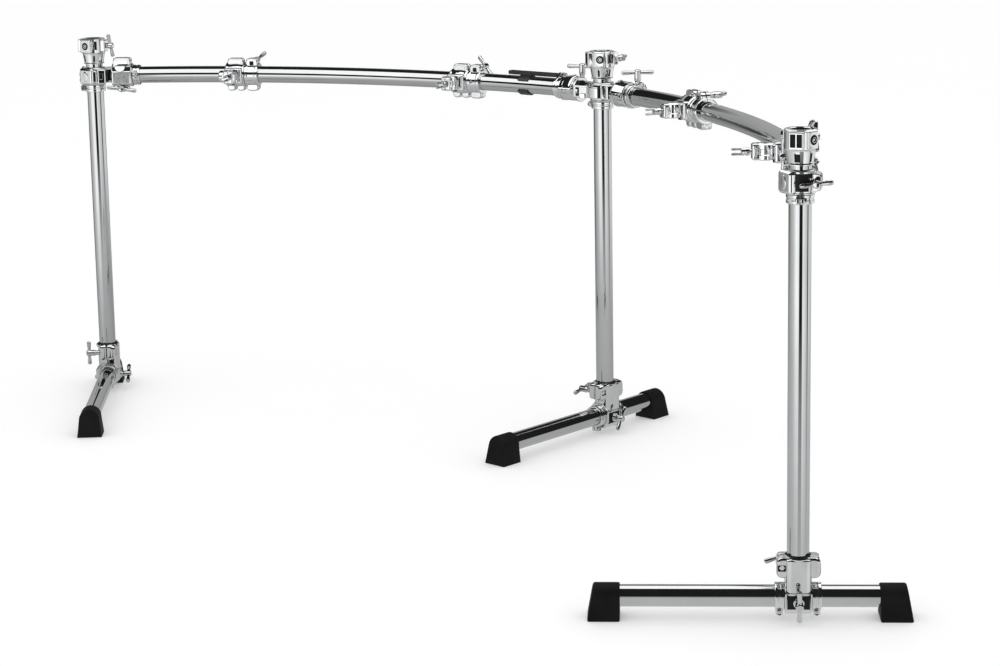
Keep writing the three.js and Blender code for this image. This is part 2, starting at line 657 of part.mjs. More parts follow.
// A bar: a curved tube from the left or centre end of its arc to the other.
class BarLine extends THREE.Curve {
  constructor(from, to) {
    super();
    this.from = from;
    this.to = to;
  }

  getPoint(share, target = new THREE.Vector3()) {
    const angle = (this.from + (this.to - this.from) * share) / BAR_RADIUS;
    return target.set(BAR_RADIUS * Math.sin(angle), BAR_RADIUS * (Math.cos(angle) - 1), 0);
  }
}

function curvedRod(radius, from, to, steps) {
  const corners = [];
  for (let side = 0; side < ROUND_SIDES; side += 1) {
    const angle = (2 * Math.PI * side) / ROUND_SIDES;
    corners.push(new THREE.Vector2(radius * Math.cos(angle), radius * Math.sin(angle)));
  }
  const line = new BarLine(from, to);
  const options = { steps, extrudePath: line, bevelEnabled: false };
  return solid(new THREE.ExtrudeGeometry(new THREE.Shape(corners), options));
}

// A curved bar with the two memory locks that are clamped on it.
function barShape(from, to, lockPlaces) {
  const bore = curvedRod(TUBE_RADIUS - TUBE_WALL, from - OVERRUN, to + OVERRUN, BAR_STEPS);
  const locks = lockPlaces.map((place) => {
    const turn = new THREE.Matrix4().makeRotationX(BAR_LOCK_TURN);
    return placed(memoryLock(), alongBar(place).multiply(turn));
  });
  return shapeOf(cut(join(curvedRod(TUBE_RADIUS, from, to, BAR_STEPS), ...locks), bore));
}

// A straight tube along one axis, with anything that is clamped on it.
function straightTube(axis, from, to, ...locks) {
  return shapeOf(cut(
    join(rod(axis, TUBE_RADIUS, from, to), ...locks),
    rod(axis, TUBE_RADIUS - TUBE_WALL, from - OVERRUN, to + OVERRUN),
  ));
}

// The clip over the left bar and the tray on its back.
function clipShape() {
  const half = CLIP_LENGTH / 2;
  const outer = BAR_BORE + CLIP_WALL;
  const ring = cut(
    rod('x', outer, -half, half),
    rod('x', BAR_BORE, -CLIP_LENGTH, CLIP_LENGTH),
    block([-CLIP_LENGTH, CLIP_LENGTH], [-outer - OVERRUN, 0], [-CLIP_MOUTH, CLIP_MOUTH]),
  );
  const trayLow = outer - TRAY_LAP;
  const tray = block([-TRAY_BACK, TRAY_AHEAD], [TRAY_NEAR, TRAY_FAR], [trayLow, trayLow + TRAY_HEIGHT]);
  return shapeOf(join(ring, tray));
}

// Pieces of the scene
function piece(name, geometry, finish) {
  const mesh = new THREE.Mesh(geometry, new THREE.MeshStandardMaterial({ ...finish }));
  mesh.name = name;
  return mesh;
}

function groupAt(frame, ...children) {
  const group = new THREE.Group();
  group.applyMatrix4(frame);
  group.add(...children);
  return group;
}

// A wing screw or nut at a place on its ear, along an outward direction.
function screwAt(name, geometry, place, outward, spin) {
  const mesh = piece(name, geometry, CHROME);
  mesh.position.set(place.x, place.y, place.z);
  mesh.quaternion.setFromUnitVectors(new THREE.Vector3(0, 0, 1), outward);
  mesh.rotateZ(spin);
  return mesh;
}

const degrees = THREE.MathUtils.degToRad;
const PLUS_X = new THREE.Vector3(1, 0, 0);
const MINUS_X = new THREE.Vector3(-1, 0, 0);
const PLUS_Y = new THREE.Vector3(0, 1, 0);
const MINUS_Y = new THREE.Vector3(0, -1, 0);
const PLUS_Z = new THREE.Vector3(0, 0, 1);

const rack = new THREE.Group();
const tee = teeParts();

// Bars
rack.add(groupAt(
  barFrame('left', 0),
  piece(
    'left_bar',
    barShape(TEE_BAR_START, BAR_ARC - JOINT_BAR_START, [TEE_LOCK, BAR_ARC - JOINT_LOCK]),
    CHROME,
  ),
));
rack.add(groupAt(
  barFrame('right', 0),
  piece(
    'right_bar',
    barShape(JOINT_BAR_START, BAR_ARC - TEE_BAR_START, [JOINT_LOCK, BAR_ARC - TEE_LOCK]),
    CHROME,
  ),
));

// Side tees with their doors and wing screws
function teeAt(side, frame, sleeveSpin, armSpin) {
  const sleevePlace = { x: -SLEEVE_EAR_HALF_THICK, y: SLEEVE_BOLT_OUT, z: 0 };
  const armPlace = { x: 0, y: -ARM_BOLT_HALF_THICK, z: -ARM_BOLT_DROP };
  const sleeveScrew = wingScrew(POST_SCREW_STEM, SHORT_WING, SCREW_BITE - FIT_GAP);
  const armScrew = wingScrew(LOW_STEM, LONG_WING, SCREW_BITE - FIT_GAP);
  return groupAt(
    frame,
    piece(`${side}_tee`, tee.casting.clone(), CHROME),
    piece(`${side}_tee_arm_door`, tee.door.clone(), CHROME),
    screwAt(`${side}_tee_post_screw`, sleeveScrew, sleevePlace, MINUS_X, sleeveSpin),
    groupAt(
      TEE_ARM_FRAME,
      screwAt(`${side}_tee_bar_screw`, armScrew, armPlace, MINUS_Y, armSpin),
    ),
  );
}

rack.add(teeAt('left', LEFT_TEE_FRAME, degrees(60), degrees(-8)));
rack.add(teeAt('right', RIGHT_TEE_FRAME, degrees(-82), degrees(85)));

// Centre joint with its wing screws
const jointScrewPlace = { x: 0, y: JOINT_BOLT_OUT, z: JOINT_EAR_HALF_THICK };
const jointScrew = wingScrew(HIGH_STEM, LONG_WING, SCREW_BITE - FIT_GAP);
rack.add(groupAt(
  CENTRE_FRAME,
  piece('centre_joint', jointShape(), CHROME),
  groupAt(
    JOINT_LEFT_FRAME,
    screwAt('joint_left_bar_screw', jointScrew, jointScrewPlace, PLUS_Z, degrees(20)),
  ),
  groupAt(
    JOINT_RIGHT_FRAME,
    screwAt('joint_right_bar_screw', jointScrew.clone(), jointScrewPlace, PLUS_Z, degrees(62)),
  ),
));

// Memory locks under the post sleeves
function postLockAt(side, x, y, turn) {
  const drop = SLEEVE_HEIGHT / 2 + FIT_GAP + LOCK_LENGTH / 2;
  const frame = new THREE.Matrix4().makeTranslation(x, y, BAR_HEIGHT - drop);
  frame.multiply(new THREE.Matrix4().makeRotationZ(turn));
  const upright = new THREE.Matrix4().makeRotationY(Math.PI / 2);
  const bored = cut(memoryLock(), rod('x', TURN_BORE, -LOCK_LENGTH, LOCK_LENGTH));
  return groupAt(
    frame,
    piece(`${side}_post_lock`, moved(shapeOf(bored), upright), CHROME),
  );
}

rack.add(postLockAt('left', -HALF_SPAN, 0, degrees(100)));
rack.add(postLockAt('centre', 0, SPAN_DEPTH, degrees(-170)));
rack.add(postLockAt('right', HALF_SPAN, 0, degrees(170)));

rack.add(groupAt(
  barFrame('left', CLIP_ALONG),
  piece('key_clip', clipShape(), BLACK_PLASTIC),
));

// Posts with their receivers
function standAt(side, x, y, screwTurn, screwSpin) {
  const place = new THREE.Matrix4().makeTranslation(x, y, 0);
  const crown = new THREE.Matrix4().makeTranslation(0, 0, BAR_HEIGHT);
  crown.multiply(new THREE.Matrix4().makeRotationZ(screwTurn));
  const screwHeight = RECEIVER_RISE + RECEIVER_TAPER + RECEIVER_RING_HEIGHT / 2;
  const screwPlace = { x: RECEIVER_BOSS_REACH, y: 0, z: screwHeight };
  const screw = wingScrew(POST_SCREW_STEM, SHORT_WING, RECEIVER_SCREW_BITE - FIT_GAP);
  return groupAt(
    place,
    piece(`${side}_post`, straightTube('z', POST_FOOT, POST_TOP), CHROME),
    groupAt(
      crown,
      piece(`${side}_receiver`, receiverShape(), CHROME),
      screwAt(`${side}_receiver_screw`, screw, screwPlace, PLUS_X, screwSpin),
    ),
  );
}

rack.add(standAt('left', -HALF_SPAN, 0, degrees(30), degrees(20)));
rack.add(standAt('centre', 0, SPAN_DEPTH, degrees(60), degrees(75)));
rack.add(standAt('right', HALF_SPAN, 0, degrees(120), degrees(25)));

// Legs
function legAt(side, x, y, turn, rearTube, socketSpin, sleeveSpin) {
  const place = new THREE.Matrix4().makeTranslation(x, y, 0);
  place.multiply(new THREE.Matrix4().makeRotationZ(turn));
  const tubeInset = FOOT_SLOPE + FOOT_END_WALL + FIT_GAP;
  const lockPlace = LEG_SLEEVE_LENGTH / 2 + FIT_GAP + LOCK_LENGTH / 2;
  const rear = lockPlace + LOCK_LENGTH / 2 + rearTube + FOOT_LENGTH;
  const reach = LEG_LENGTH - rear;
  const locks = [lockPlace, -lockPlace].map((along) => {
    const frame = new THREE.Matrix4().makeTranslation(along, 0, 0);
    return placed(memoryLock(), frame.multiply(new THREE.Matrix4().makeRotationY(Math.PI)));
  });
  const foot = rubberFoot();
  const socketPlace = { x: SOCKET_SCREW_OUT, y: -SOCKET_EAR_HALF_THICK, z: SOCKET_SCREW_HEIGHT };
  const sleevePlace = { x: 0, y: LEG_SLEEVE_FLAT, z: -LEG_SCREW_DROP };
  const socketScrew = wingScrew(MIDDLE_STEM, SHORT_WING, SCREW_BITE - FIT_GAP);
  const sleeveScrew = wingScrew(POST_SCREW_STEM, SHORT_WING, LEG_SCREW_BITE);
  return groupAt(
    place,
    piece(`${side}_front_foot`, foot.clone().translate(reach, 0, 0), BLACK_RUBBER),
    piece(`${side}_rear_foot`, foot.clone().rotateZ(Math.PI).translate(-rear, 0, 0), BLACK_RUBBER),
    groupAt(
      new THREE.Matrix4().makeTranslation(0, 0, LEG_HEIGHT),
      piece(`${side}_leg_tube`, straightTube('x', tubeInset - rear, reach - tubeInset, ...locks), CHROME),
      piece(`${side}_leg_socket`, legSocket(), CHROME),
      screwAt(`${side}_leg_post_screw`, socketScrew, socketPlace, MINUS_Y, socketSpin),
      screwAt(`${side}_leg_tube_screw`, sleeveScrew, sleevePlace, PLUS_Y, sleeveSpin),
    ),
  );
}

rack.add(legAt('left', -HALF_SPAN, 0, LEFT_LEG_TURN, LEFT_REAR_TUBE, degrees(88), degrees(35)));
rack.add(legAt('centre', 0, SPAN_DEPTH, CENTRE_LEG_TURN, CENTRE_REAR_TUBE, degrees(-12), degrees(60)));
rack.add(legAt('right', HALF_SPAN, 0, RIGHT_LEG_TURN, RIGHT_REAR_TUBE, degrees(-18), degrees(90)));

// Clamps along the bars
const clampSpins = [degrees(35), degrees(-50), degrees(15), degrees(70)];
CLAMP_SHARES.forEach(({ bar, share }, index) => {
  const name = `clamp_${index + 1}`;
  const [start, end] = FREE_RUNS[bar];
  const along = start + share * (end - start);
  const screwPlace = { x: BAND_MIDDLE, y: BAND_EAR_HALF_THICK, z: BAND_SCREW_HEIGHT };
  const nutPlace = { x: 0, y: -JAW_BLOCK_REACH, z: 0 };
  const bandScrew = wingScrew(MIDDLE_STEM, SHORT_WING, SCREW_BITE - FIT_GAP);
  rack.add(groupAt(
    barFrame(bar, along - JAW_LENGTH / 2),
    piece(`${name}_band`, bandShape(), CHROME),
    piece(`${name}_jaw`, jawShape(), CHROME),
    screwAt(`${name}_band_screw`, bandScrew, screwPlace, PLUS_Y, clampSpins[index]),
    screwAt(`${name}_jaw_nut`, prongNut(), nutPlace, MINUS_Y, 0),
  ));
});

// The origin is the middle of the ground under the whole rack.
const bounds = new THREE.Box3().setFromObject(rack, true);
const middle = bounds.getCenter(new THREE.Vector3());
rack.position.set(-middle.x, -middle.y, -bounds.min.z);

export default rack;
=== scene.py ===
from math import asin, atan2, cos, hypot, pi, radians, sin

import bmesh
import bpy
from mathutils import Matrix, Vector


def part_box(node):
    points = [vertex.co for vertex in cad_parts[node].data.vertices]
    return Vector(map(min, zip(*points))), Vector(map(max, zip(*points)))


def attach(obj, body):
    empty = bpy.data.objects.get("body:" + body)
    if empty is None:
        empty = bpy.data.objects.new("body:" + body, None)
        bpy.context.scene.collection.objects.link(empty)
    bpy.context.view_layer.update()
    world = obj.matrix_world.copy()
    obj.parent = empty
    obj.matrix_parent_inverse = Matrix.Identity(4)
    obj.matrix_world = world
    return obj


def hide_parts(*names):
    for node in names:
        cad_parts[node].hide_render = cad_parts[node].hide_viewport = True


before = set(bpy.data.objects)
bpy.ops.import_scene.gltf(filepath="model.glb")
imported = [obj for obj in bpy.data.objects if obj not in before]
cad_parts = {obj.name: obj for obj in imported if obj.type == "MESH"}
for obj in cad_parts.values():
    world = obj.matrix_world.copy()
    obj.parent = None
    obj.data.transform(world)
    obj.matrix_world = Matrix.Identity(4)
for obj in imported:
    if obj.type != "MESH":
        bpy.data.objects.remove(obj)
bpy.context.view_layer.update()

MM = 0.001

# Plan of the rack, in millimetres
HALF_SPAN = 1103.7
SPAN_DEPTH = 585.8
BAR_SAG = 130.4
BAR_HEIGHT = 749
LEG_HEIGHT = 38

# Tubes and the castings that grip them
TUBE_RADIUS = 19.05
TUBE_WALL = 1.6
GRIP_BORE = 19.4
FIT_GAP = 0.3
EAR_SPLIT = 0.6
SLEEVE_HALF = 20
TEE_ARM_MIDDLE = 66
JOINT_ARM_MIDDLE = 83
ARM_LENGTH = 48
ARM_RADIUS = 27
BAR_END_GAP = 3
LOCK_LENGTH = 16
LOCK_RADIUS = 23.5
LOCK_BOLT_RISE = 27.5
SLEEVE_BOLT_OUT = 28.5
ARM_BOLT_DROP = 29.5
SCREW_EAR = (14, 20, 38)
SLEEVE_EAR_THICK = 14
DOOR_EAR_THICK = 12
JOINT_EAR_THICK = 13
JOINT_BOLT_OUT = 31

# Posts, and receivers above the middle of the tee
POST_LOW = 66
POST_HIGH = 795
POST_LOCK_DROP = 28.3
RECEIVER_RISE = 28
RECEIVER_NECK = 54
RECEIVER_TOP = 87
RECEIVER_MIDDLE = (RECEIVER_NECK + RECEIVER_TOP) / 2
RECEIVER_FACE = 34
RECEIVER_BORE = 15
BUSH_WALL = 2.1
POST_SEAT = 18

# Legs
LEG_LENGTH = 550
LEG_SLEEVE_LENGTH = 46
LEG_SLEEVE_FLAT = 28
SOCKET_SEAT = 28
SOCKET_RIM = 71
SOCKET_TOP = 75
SOCKET_SCREW_OUT = 28
SOCKET_SCREW_HEIGHT = 55
SOCKET_EAR_THICK = 16
TUBE_SCREW_DROP = 4
FOOT_LENGTH = 56
FOOT_SLOPE = 11
FOOT_HALF_WIDTH = 27
FOOT_HEIGHT = 60.5
FOOT_END_WALL = 8

# Clamps and the key clip
JAW_LENGTH = 46
JAW_BLOCK_REACH = 74
JAW_HOLE_OUT = 50
JAW_HOLE_TOP = 14.6
JAW_BOSS = (0, -31, -2)
BAND_LENGTH = 32
BAND_SCREW_HEIGHT = 30
BAND_EAR_THICK = 10
BAND_MIDDLE = JAW_LENGTH / 2 + FIT_GAP + BAND_LENGTH / 2
TRAY_AHEAD = 84
TRAY_BACK = 53
TRAY_END_GAP = 3.5

# Screws
HUB_RADIUS = 7
HUB_HEIGHT = 21
WING_RADIUS = 4
WING_DROP = 7
SHORT_WING = 56
LONG_WING = 69
SCREW_BITE = 17.7
THREAD_STEP = 1.5
HIGH_STEM = 18
MIDDLE_STEM = 11
LOW_STEM = 5
POST_SCREW_STEM = 4
RECEIVER_STEM = 1

BAR_CHORD = hypot(HALF_SPAN, SPAN_DEPTH)
BAR_RADIUS = (BAR_CHORD**2 / 4 + BAR_SAG**2) / (2 * BAR_SAG)
BAR_HALF_ANGLE = asin(BAR_CHORD / 2 / BAR_RADIUS)
BAR_ARC = 2 * BAR_HALF_ANGLE * BAR_RADIUS
CHORD_TURN = atan2(SPAN_DEPTH, HALF_SPAN)
BAR_STARTS = {
    "left": (-HALF_SPAN, 0, BAR_HALF_ANGLE + CHORD_TURN),
    "right": (0, SPAN_DEPTH, BAR_HALF_ANGLE - CHORD_TURN),
}
LOCK_STEP = ARM_LENGTH / 2 + FIT_GAP + LOCK_RADIUS * ARM_LENGTH / BAR_RADIUS + LOCK_LENGTH / 2
TEE_LOCK = TEE_ARM_MIDDLE + LOCK_STEP
JOINT_LOCK = JOINT_ARM_MIDDLE + LOCK_STEP
CLIP_ALONG = BAR_ARC - JOINT_LOCK - LOCK_LENGTH / 2 - TRAY_END_GAP - TRAY_AHEAD
FREE_RUNS = {
    "left": (TEE_LOCK + LOCK_LENGTH / 2, CLIP_ALONG - TRAY_BACK),
    "right": (JOINT_LOCK + LOCK_LENGTH / 2, BAR_ARC - TEE_LOCK - LOCK_LENGTH / 2),
}


# Places, as matrices in millimetres
def shift(x=0, y=0, z=0):
    return Matrix.Translation((x, y, z))


def turn(axis, degrees):
    return Matrix.Rotation(radians(degrees), 4, axis)


def facing(outward, spin=0):
    """Turns +Z to an outward direction, then spins about it."""
    swing = Vector((0, 0, 1)).rotation_difference(Vector(outward)).to_matrix().to_4x4()
    return swing @ turn("Z", spin)


POST_BOX = [Vector(corner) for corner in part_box("centre_post")]
CENTRE_POST = (POST_BOX[0] + POST_BOX[1]) / 2 / MM
RACK_PLACE = shift(CENTRE_POST.x, CENTRE_POST.y - SPAN_DEPTH, 0)
POST_PLACES = {
    "left": RACK_PLACE @ shift(-HALF_SPAN, 0),
    "centre": RACK_PLACE @ shift(0, SPAN_DEPTH),
    "right": RACK_PLACE @ shift(HALF_SPAN, 0),
}


def on_bar(bar, along):
    """A place on a bar: X along it, Y away from the player, Z up."""
    x, y, lean = BAR_STARTS[bar]
    start = shift(x, y, BAR_HEIGHT) @ Matrix.Rotation(lean, 4, "Z")
    angle = along / BAR_RADIUS
    step = shift(BAR_RADIUS * sin(angle), BAR_RADIUS * (cos(angle) - 1))
    return RACK_PLACE @ start @ step @ Matrix.Rotation(-angle, 4, "Z")


TEE_PLACES = {"left": on_bar("left", 0), "right": on_bar("right", BAR_ARC) @ turn("Y", 180)}
TEE_ARM = on_bar("left", 0).inverted() @ on_bar("left", TEE_ARM_MIDDLE)
CENTRE_PLACE = POST_PLACES["centre"] @ shift(0, 0, BAR_HEIGHT)
JOINT_ARMS = {
    "left": CENTRE_PLACE.inverted() @ on_bar("left", BAR_ARC - JOINT_ARM_MIDDLE),
    "right": CENTRE_PLACE.inverted() @ on_bar("right", JOINT_ARM_MIDDLE),
}
JOINT_BOX = shift(-40, -27, 0) @ turn("Z", 18)
ALONG_X = turn("Y", 90)
ALONG_Y = turn("X", -90)
ALONG_Z = Matrix.Identity(4)
UPRIGHT = turn("X", 90)


# Finishes
def added(tree, kind, feeds=None, **settings):
    """A new shader node with its settings, and a value or a link for each named socket."""
    node = tree.nodes.new(f"ShaderNode{kind}")
    for label, setting in settings.items():
        setattr(node, label, setting)
    for label, value in (feeds or {}).items():
        if hasattr(value, "links"):
            tree.links.new(value, node.inputs[label])
        else:
            node.inputs[label].default_value = value
    return node


def noise(tree, vector, scale, detail=3.0, rough=0.5):
    feeds = {"Vector": vector, "Scale": scale, "Detail": detail, "Roughness": rough}
    return added(tree, "TexNoise", feeds).outputs["Fac"]


def spread(tree, value, low, high, to_low=0.0, to_high=1.0):
    feeds = {"Value": value, "From Min": low, "From Max": high, "To Min": to_low, "To Max": to_high}
    return added(tree, "MapRange", feeds).outputs["Result"]


def tones(tree, value, stops):
    """A ramp from places between 0 and 1 to colours."""
    ramp = added(tree, "ValToRGB", {"Fac": value})
    for _ in stops[2:]:
        ramp.color_ramp.elements.new(0.5)
    for element, (place, colour) in zip(ramp.color_ramp.elements, stops):
        element.position = place
        element.color = (*colour, 1)
    return ramp.outputs["Color"]


MARK_SIZES = ("Haze Size", "Least Roughness", "Most Roughness", "Grain Size")


def handling_marks():
    """Fine haze and swirl left on plated metal by hands and cloths."""
    group = bpy.data.node_groups.new("handling_marks", "ShaderNodeTree")
    kind = "NodeSocketFloat"
    for label in MARK_SIZES:
        group.interface.new_socket(label, in_out="INPUT", socket_type=kind)
    for label in ("Roughness", "Height", "Haze"):
        group.interface.new_socket(label, in_out="OUTPUT", socket_type=kind)
    given = group.nodes.new("NodeGroupInput").outputs
    out = group.nodes.new("NodeGroupOutput").inputs
    place = added(group, "TexCoord").outputs["Object"]
    haze = noise(group, place, given["Haze Size"], 4.0, 0.6)
    grain = noise(group, place, given["Grain Size"], 2.0)
    rough = spread(group, haze, 0.35, 0.7, given["Least Roughness"], given["Most Roughness"])
    group.links.new(haze, out["Haze"])
    group.links.new(rough, out["Roughness"])
    group.links.new(grain, out["Height"])
    return group


MARKS = handling_marks()


def finish_tree(name):
    material = bpy.data.materials.new(name)
    material.use_nodes = True
    tree = material.node_tree
    return material, tree, tree.nodes["Principled BSDF"]


def dress(tree, shader, tone, rough, height, strength, depth):
    """Colour, roughness and bump that change over the surface."""
    feeds = {"Height": height, "Strength": strength, "Distance": depth}
    tree.links.new(tone, shader.inputs["Base Color"])
    tree.links.new(rough, shader.inputs["Roughness"])
    tree.links.new(added(tree, "Bump", feeds).outputs["Normal"], shader.inputs["Normal"])


def plated(name, dull, bright, sizes, depth):
    """Chrome, with haze size, least and most roughness and grain size for its marks."""
    material, tree, shader = finish_tree(name)
    marks = added(tree, "Group", dict(zip(MARK_SIZES, sizes)), node_tree=MARKS).outputs
    shader.inputs["Metallic"].default_value = 1.0
    tone = tones(tree, marks["Haze"], [(0.3, dull), (0.7, bright)])
    dress(tree, shader, tone, marks["Roughness"], marks["Height"], 0.15, depth)
    return material


def moulded(name, dark, light, grain, rough, depth, gloss=0.5):
    material, tree, shader = finish_tree(name)
    shader.inputs["Specular IOR Level"].default_value = gloss
    place = added(tree, "TexCoord").outputs["Object"]
    fine = noise(tree, place, grain)
    tone = tones(tree, noise(tree, place, 22.0, 2.0), [(0.3, dark), (0.7, light)])
    rough = spread(tree, fine, 0.3, 0.7, rough - 0.08, rough + 0.08)
    dress(tree, shader, tone, rough, fine, 0.35, depth)
    return material


TUBE_CHROME = plated(
    "tube_chrome", (0.52, 0.53, 0.535), (0.57, 0.58, 0.585), (9.0, 0.02, 0.06, 260.0), 0.00002
)
CAST_CHROME = plated(
    "cast_chrome", (0.66, 0.67, 0.675), (0.76, 0.765, 0.77), (26.0, 0.02, 0.07, 520.0), 0.00003
)
SCREW_CHROME = plated(
    "screw_chrome", (0.56, 0.565, 0.57), (0.66, 0.665, 0.67), (40.0, 0.03, 0.08, 700.0), 0.00002
)
BLASTED_CHROME = plated(
    "blasted_chrome", (0.42, 0.425, 0.43), (0.66, 0.665, 0.67), (240.0, 0.26, 0.42, 1600.0), 0.0002
)
FOOT_RUBBER = moulded(
    "foot_rubber", (0.0035, 0.0035, 0.004), (0.0075, 0.0075, 0.008), 900.0, 0.7, 0.0002, 0.2
)
CLIP_PLASTIC = moulded(
    "clip_plastic", (0.006, 0.006, 0.007), (0.015, 0.015, 0.016), 1200.0, 0.38, 0.0001
)
# Black nylon: the receivers' bushes, and black pads that paint the shade in the castings' pockets,
# gaps and slots
BUSH_AND_SHADE_NYLON = moulded(
    "bush_and_shade_nylon", (0.004, 0.004, 0.004), (0.01, 0.01, 0.01), 1500.0, 0.55, 0.0001, 0.3
)
SMOOTH_UNDER = 35


# Shapes, each a bmesh in millimetres about its own place
def laid(work, *matrices):
    matrix = Matrix.Identity(4)
    for each in matrices:
        matrix = matrix @ each
    bmesh.ops.transform(work, matrix=matrix, verts=work.verts)
    return work


def placed(shapes, *matrices):
    return [laid(work, *matrices) for work in shapes]


def rounded(points, radius, closed=True):
    """The corners of an outline, each turned into a small arc."""
    made = []
    count = len(points)
    for index, point in enumerate(points):
        here = Vector(point)
        if not closed and index in (0, count - 1):
            made.append(tuple(here))
            continue
        before = Vector(points[index - 1]) - here
        after = Vector(points[(index + 1) % count]) - here
        reach = min(radius, before.length * 0.45, after.length * 0.45)
        first = here + before.normalized() * reach
        last = here + after.normalized() * reach
        for share in (0, 0.25, 0.5, 0.75, 1):
            made.append(tuple(first.lerp(here, share).lerp(here.lerp(last, share), share)))
    return made


def oblong(x, y, corner):
    """A rectangle between two ends each way, with its corners rounded."""
    return rounded([(x[0], y[0]), (x[1], y[0]), (x[1], y[1]), (x[0], y[1])], corner)


def turned(profile, sides=56, start=0, sweep=360):
    """Radius and height pairs turned about Z. A closed loop of pairs makes a ring."""
    work = bmesh.new()
    whole = sweep == 360
    count = sides if whole else sides + 1
    rows = []
    for step in range(count):
        angle = radians(start + sweep * step / sides)
        rows.append([work.verts.new((r * cos(angle), r * sin(angle), z)) for r, z in profile])
    for step in range(sides):
        here, there = rows[step], rows[(step + 1) % count]
        for index in range(len(profile)):
            after = (index + 1) % len(profile)
            work.faces.new((here[index], there[index], there[after], here[after]))
    if not whole:
        work.faces.new(list(reversed(rows[0])))
        work.faces.new(rows[-1])
    bmesh.ops.remove_doubles(work, verts=work.verts, dist=0.001)
    bmesh.ops.recalc_face_normals(work, faces=work.faces)
    return work


def collar(lay, inner, outer, low, high, edge=1.0, sides=56, start=0, sweep=360):
    loop = oblong((inner, outer), (low, high), edge)
    return laid(turned(loop, sides, start, sweep), lay)


def shaft(lay, radius, low, high, edge=0.6, at=(0, 0, 0), sides=28):
    line = [(0, low), (radius, low), (radius, high), (0, high)]
    return laid(turned(rounded(line, edge, closed=False), sides), shift(*at), lay)


def slab(x, y, z, edge=1.5):
    work = bmesh.new()
    bmesh.ops.create_cube(work, size=1)
    size = Matrix.Diagonal((x[1] - x[0], y[1] - y[0], z[1] - z[0], 1))
    laid(work, shift((x[0] + x[1]) / 2, (y[0] + y[1]) / 2, (z[0] + z[1]) / 2), size)
    if edge:
        bmesh.ops.bevel(work, geom=work.edges, offset=edge, segments=3, profile=0.5, affect="EDGES")
    return work


def both_ends(line):
    """A whole profile from its lower half, which is the same upside down."""
    return line + [(r, -z) for r, z in reversed(line) if z]


def joined(work, one, other):
    """Faces from one loop of points to another."""
    for here in range(len(one)):
        after = (here + 1) % len(one)
        work.faces.new((one[here], one[after], other[after], other[here]))


def plate(outline, low, high, edge=1.2):
    """An outline in X and Y, raised from low to high along Z."""
    work = bmesh.new()
    base = [work.verts.new((x, y, low)) for x, y in outline]
    lid = [work.verts.new((x, y, high)) for x, y in outline]
    joined(work, base, lid)
    rims = []
    for ends in (list(reversed(base)), lid):
        rims += list(work.faces.new(ends).edges)
    bmesh.ops.recalc_face_normals(work, faces=work.faces)
    bmesh.ops.bevel(work, geom=rims, offset=edge, segments=3, profile=0.5, affect="EDGES")
    return work


def wheel(radius, count=40, start=0):
    """Points round a circle, or the corners of a regular outline."""
    turns = [radians(start + 360 * step / count) for step in range(count)]
    return [(radius * cos(a), radius * sin(a)) for a in turns]


def ear_shape(half_width, root, reach, corner=9):
    """The outline of an ear, from its square root to its rounded end."""
    end = oblong((-half_width, half_width), (root, reach), corner)[10:]
    return [(-half_width, root), (half_width, root), *end]


def lug(half_width, root, reach, near, far, corner=9, edge=3):
    """An ear in X and Z, from near to far along Y."""
    return laid(plate(ear_shape(half_width, root, reach, corner), -far, -near, edge), UPRIGHT)


def ear_pair(shape, thick, edge, lay=ALONG_Z):
    """Two ears of one outline with a split between them."""
    ends = ((EAR_SPLIT, thick), (-thick, -EAR_SPLIT))
    return [laid(plate(shape, *pair, edge), lay) for pair in ends]


def room(lay=ALONG_X, low=-60, high=60, radius=GRIP_BORE):
    """The space of a tube or a bush, to carve out of a shape."""
    return shaft(lay, radius, low, high, 0.2, sides=64)


def bent_tube(outer, inner, begin, finish, sides=64, steps=110):
    """A hollow tube on the bar's arc, from its start at the origin along X."""
    work = bmesh.new()
    loops = []
    rise = Vector((0, 0, 1))
    ways = [2 * pi * k / sides for k in range(sides)]
    for step in range(steps + 1):
        angle = (begin + (finish - begin) * step / steps) / BAR_RADIUS
        centre = Vector((BAR_RADIUS * sin(angle), BAR_RADIUS * (cos(angle) - 1), 0))
        side = Vector((sin(angle), cos(angle), 0))
        loops.append([
            [work.verts.new(centre + (side * cos(a) + rise * sin(a)) * radius) for a in ways]
            for radius in (outer, inner)
        ])
    for here, there in zip(loops, loops[1:]):
        joined(work, here[0], there[0])
        joined(work, here[1], there[1])
    for outside, inside in (loops[0], loops[-1]):
        joined(work, outside, inside)
    bmesh.ops.recalc_face_normals(work, faces=work.faces)
    return work


def mesh_of(works):
    whole = bmesh.new()
    for work in works:
        part = bpy.data.meshes.new("part_shape")
        work.to_mesh(part)
        work.free()
        whole.from_mesh(part)
        bpy.data.meshes.remove(part)
    mesh = bpy.data.meshes.new("shape")
    whole.to_mesh(mesh)
    whole.free()
    return mesh


def set_down(name, data):
    thing = bpy.data.objects.new(name, data)
    bpy.context.scene.collection.objects.link(thing)
    return thing


def carved(work, *cutters):
    """A shape with the cutters taken out of it."""
    blanks = [set_down("blank", mesh_of([each])) for each in (work, *cutters)]
    for tool in blanks[1:]:
        cut = blanks[0].modifiers.new("cut", "BOOLEAN")
        cut.operation = "DIFFERENCE"
        cut.solver = "EXACT"
        cut.object = tool
    seen = blanks[0].evaluated_get(bpy.context.evaluated_depsgraph_get())
    cast = bpy.data.meshes.new_from_object(seen)
    result = bmesh.new()
    result.from_mesh(cast)
    bpy.data.meshes.remove(cast)
    for blank in blanks:
        old = blank.data
        bpy.data.objects.remove(blank)
        bpy.data.meshes.remove(old)
    return result


